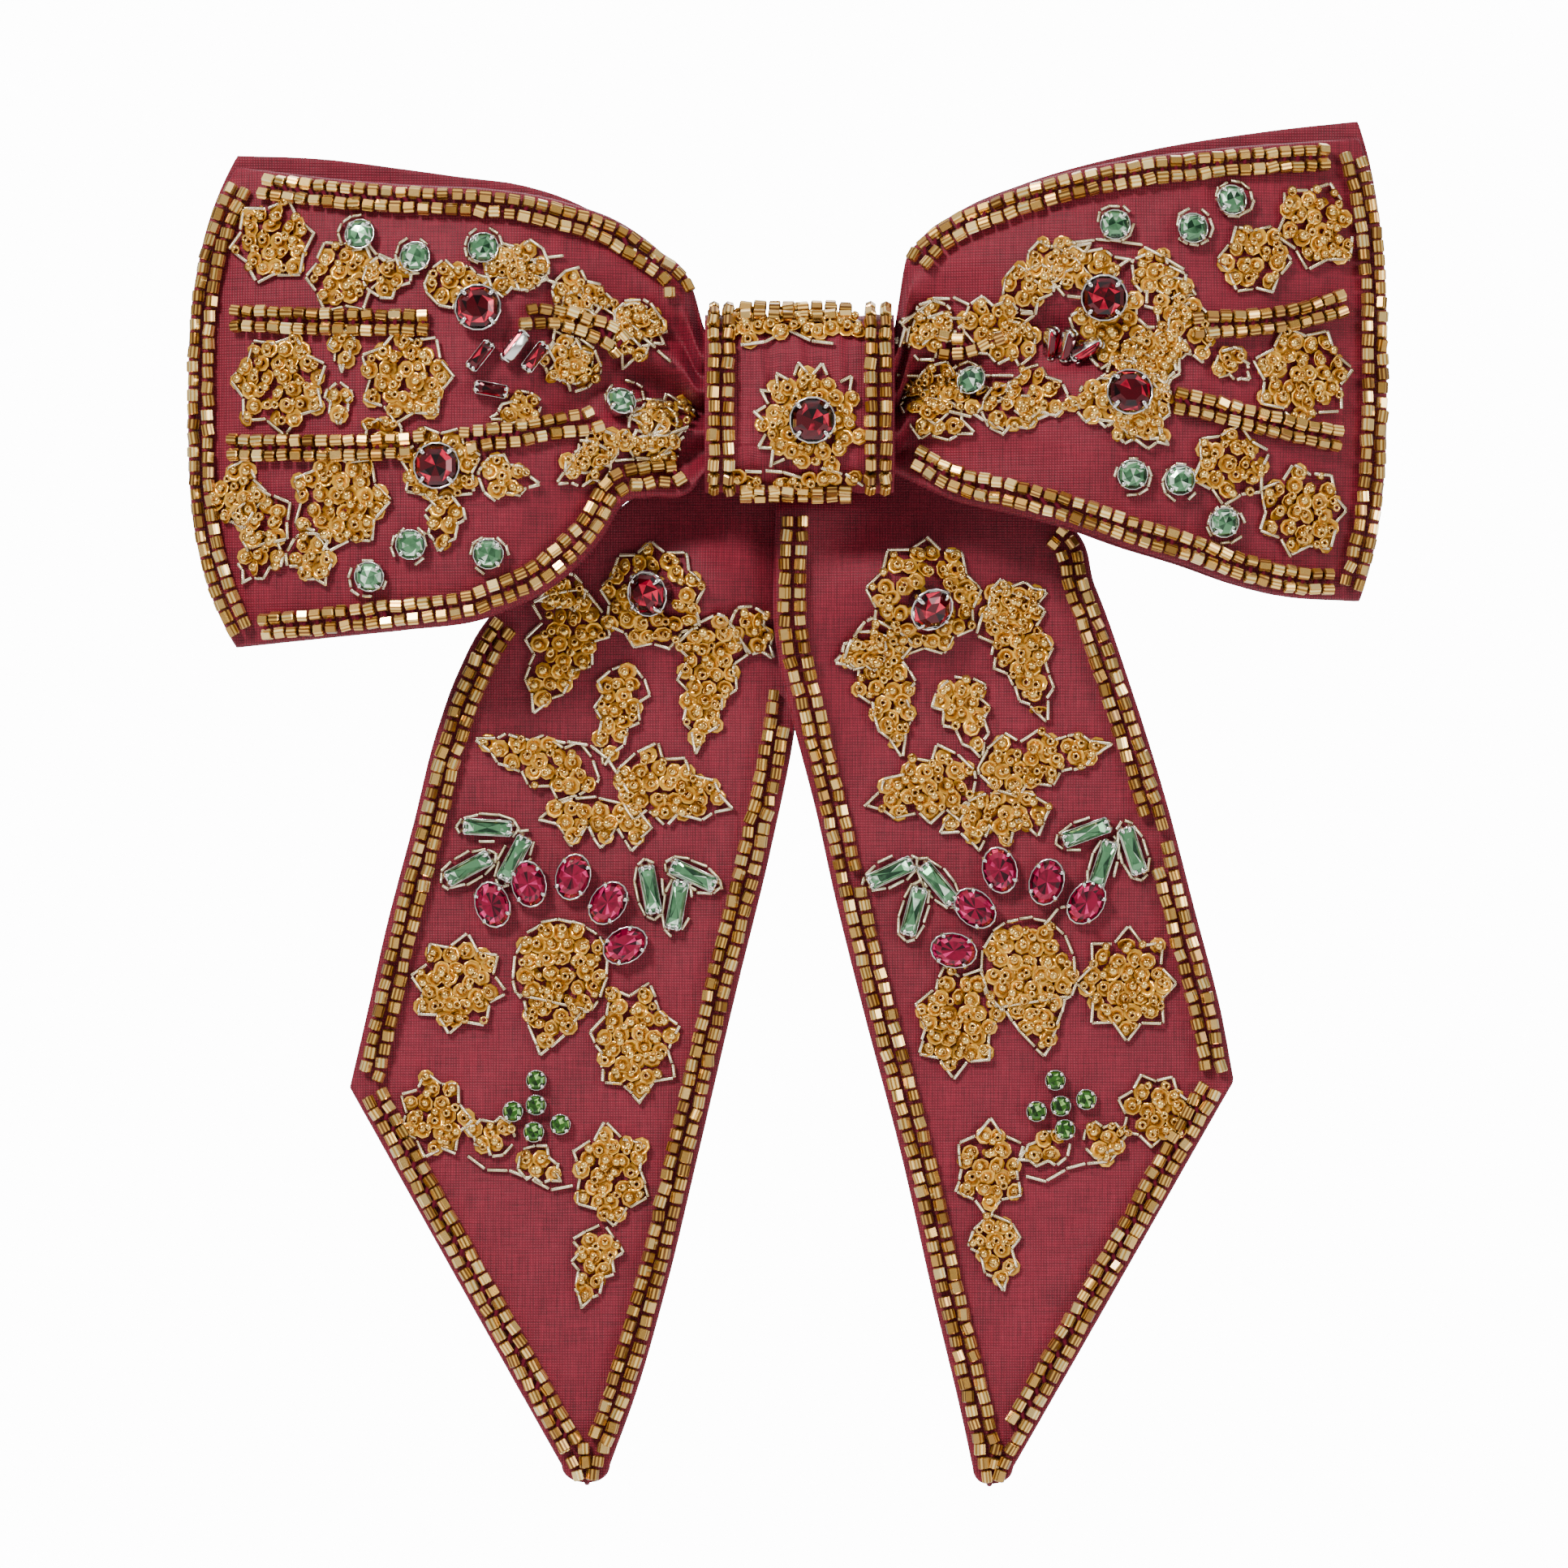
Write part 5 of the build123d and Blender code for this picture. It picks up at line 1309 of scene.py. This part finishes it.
# ---------------------------------------------------------------- making everything
for bow_side in SIDES:
    make_loop_cloth(bow_side)
    make_tail_cloth(bow_side)
make_knot_cloth()
crowned_pad("felt_back_pad", "back_pad", FELT, "felt_pad")
crowned_pad("knot_wadding", "knot_padding", WADDING, "wadding")
nodes["waist_binding_thread"].data.materials.clear()
nodes["waist_binding_thread"].data.materials.append(THREAD)
for part in ("clip_fixed_jaw", "clip_moving_jaw", "clip_hinge_pin", "clip_spring"):
    nodes[part].data.materials.clear()
    nodes[part].data.materials.append(STEEL)


make_threads("row_threads", [make_cut_beads(part) for part in sorted(nodes) if part.endswith("_beads")])
for bow_side in SIDES:
    close_tip(bow_side)

for part in ("knot_garnet", "left_loop_garnets", "right_loop_garnets", "left_tail_garnet",
             "right_tail_garnet"):
    round_stones(part, garnet_size, GARNET, "garnet_glass")
for part in ("left_loop_green_stones", "right_loop_green_stones"):
    round_stones(part, green_size, GREEN, "green_glass")
round_stones("tail_olive_stones", olive_size, OLIVE, "olive_glass")
long_stones("tail_ruby_ovals", ring_outline(16, oval_size[0] / 2, oval_size[1] / 2),
            four(1.8, 1.7), 0.9, 1.2, RUBY, "ruby_glass")
for part, size, glass, slot in (("tail_green_bars", green_bar_size, GREEN, "green_glass"),
                                ("left_loop_garnet_bars", garnet_bar_size, GARNET, "garnet_glass"),
                                ("right_loop_garnet_bars", garnet_bar_size, GARNET, "garnet_glass")):
    long_stones(part, oblong_outline(size[0] / 2, size[1] / 2, 0.25),
                four(size[0] / 2, size[1] / 4), 0.6, 0.8, glass, slot)
for bow_side in SIDES:
    loop_work, tail_work = embroider_loop(bow_side), embroider_tail(bow_side)
    ring_stones(loop_work, f"{SIDES[bow_side]}_loop_green_stones", 2.45, 2.45, 0.7)
    ring_stones(tail_work, "tail_green_bars", 4.3, 1.9, 0.8, bow_side)
    loop_work.sew()
    tail_work.sew()
embroider_knot().sew()

# ---------------------------------------------------------------- camera, floor and light
view_width, lens, sensor = 0.210, 150.0, 36.0
focus = Vector((-0.00207, -0.012, -0.05065))
camera_data = bpy.data.cameras.new("camera")
camera_data.lens, camera_data.sensor_width = lens, sensor
camera_data.clip_start, camera_data.clip_end = 0.01, 20
camera = bpy.data.objects.new("camera", camera_data)
camera.location = focus + Vector((0, -view_width * lens / sensor, 0))
camera.rotation_euler = (math.pi / 2, 0, 0)
bpy.context.scene.collection.objects.link(camera)
bpy.context.scene.camera = camera

floor_reach, floor_level = 1.5, -0.45
floor_mesh = bpy.data.meshes.new("floor")
floor_mesh.from_pydata([(x * floor_reach, y * floor_reach, floor_level)
                        for x, y in ((-1, -1), (1, -1), (1, 1), (-1, 1))], [], [(0, 1, 2, 3)])
floor = bpy.data.objects.new("floor", floor_mesh)
pale = Finish("pale_floor", Base_Color=(0.85, 0.85, 0.85, 1), Roughness=0.8)
floor_mesh.materials.append(pale.material)
bpy.context.scene.collection.objects.link(floor)


def area_light(name, place, size, watts):
    """A square light that faces the bow."""
    data = bpy.data.lights.new(name, "AREA")
    data.size, data.energy = size, watts
    lamp = bpy.data.objects.new(name, data)
    lamp.location = place
    lamp.rotation_euler = (focus - Vector(place)).to_track_quat("-Z", "Y").to_euler()
    bpy.context.scene.collection.objects.link(lamp)


area_light("key", (-0.45, -0.80, 0.60), 0.22, 15)
area_light("fill", (0.80, -0.70, 0.10), 0.4, 4)
area_light("rim", (0.1, 0.9, 0.7), 0.6, 4)

# A bright ceiling, a dim band under it and a pale horizon, so that metal and glass have something
# to show; a lens looks past them at plain white.
studio = Finish("studio", "worlds", "Background")
heading = studio.add("SeparateXYZ", Vector=studio.add("TexCoord"))
upwards = Socket(studio.tree, heading.output.node.outputs[2])
glow = studio.add("ValToRGB", Fac=upwards * 0.5 + 0.5,
                  stops=[(0.0, (0.16, 0.155, 0.15)), (0.36, (0.14, 0.135, 0.13)),
                         (0.47, (0.62, 0.62, 0.61)), (0.56, (0.62, 0.62, 0.62)),
                         (0.64, (0.20, 0.20, 0.20)), (0.76, (0.30, 0.30, 0.31)),
                         (0.86, (1.15, 1.15, 1.18))])
studio.set(Color=studio.mix(studio.add("LightPath"), glow, (14.0, 14.0, 14.0)))
bpy.context.scene.world = studio.material
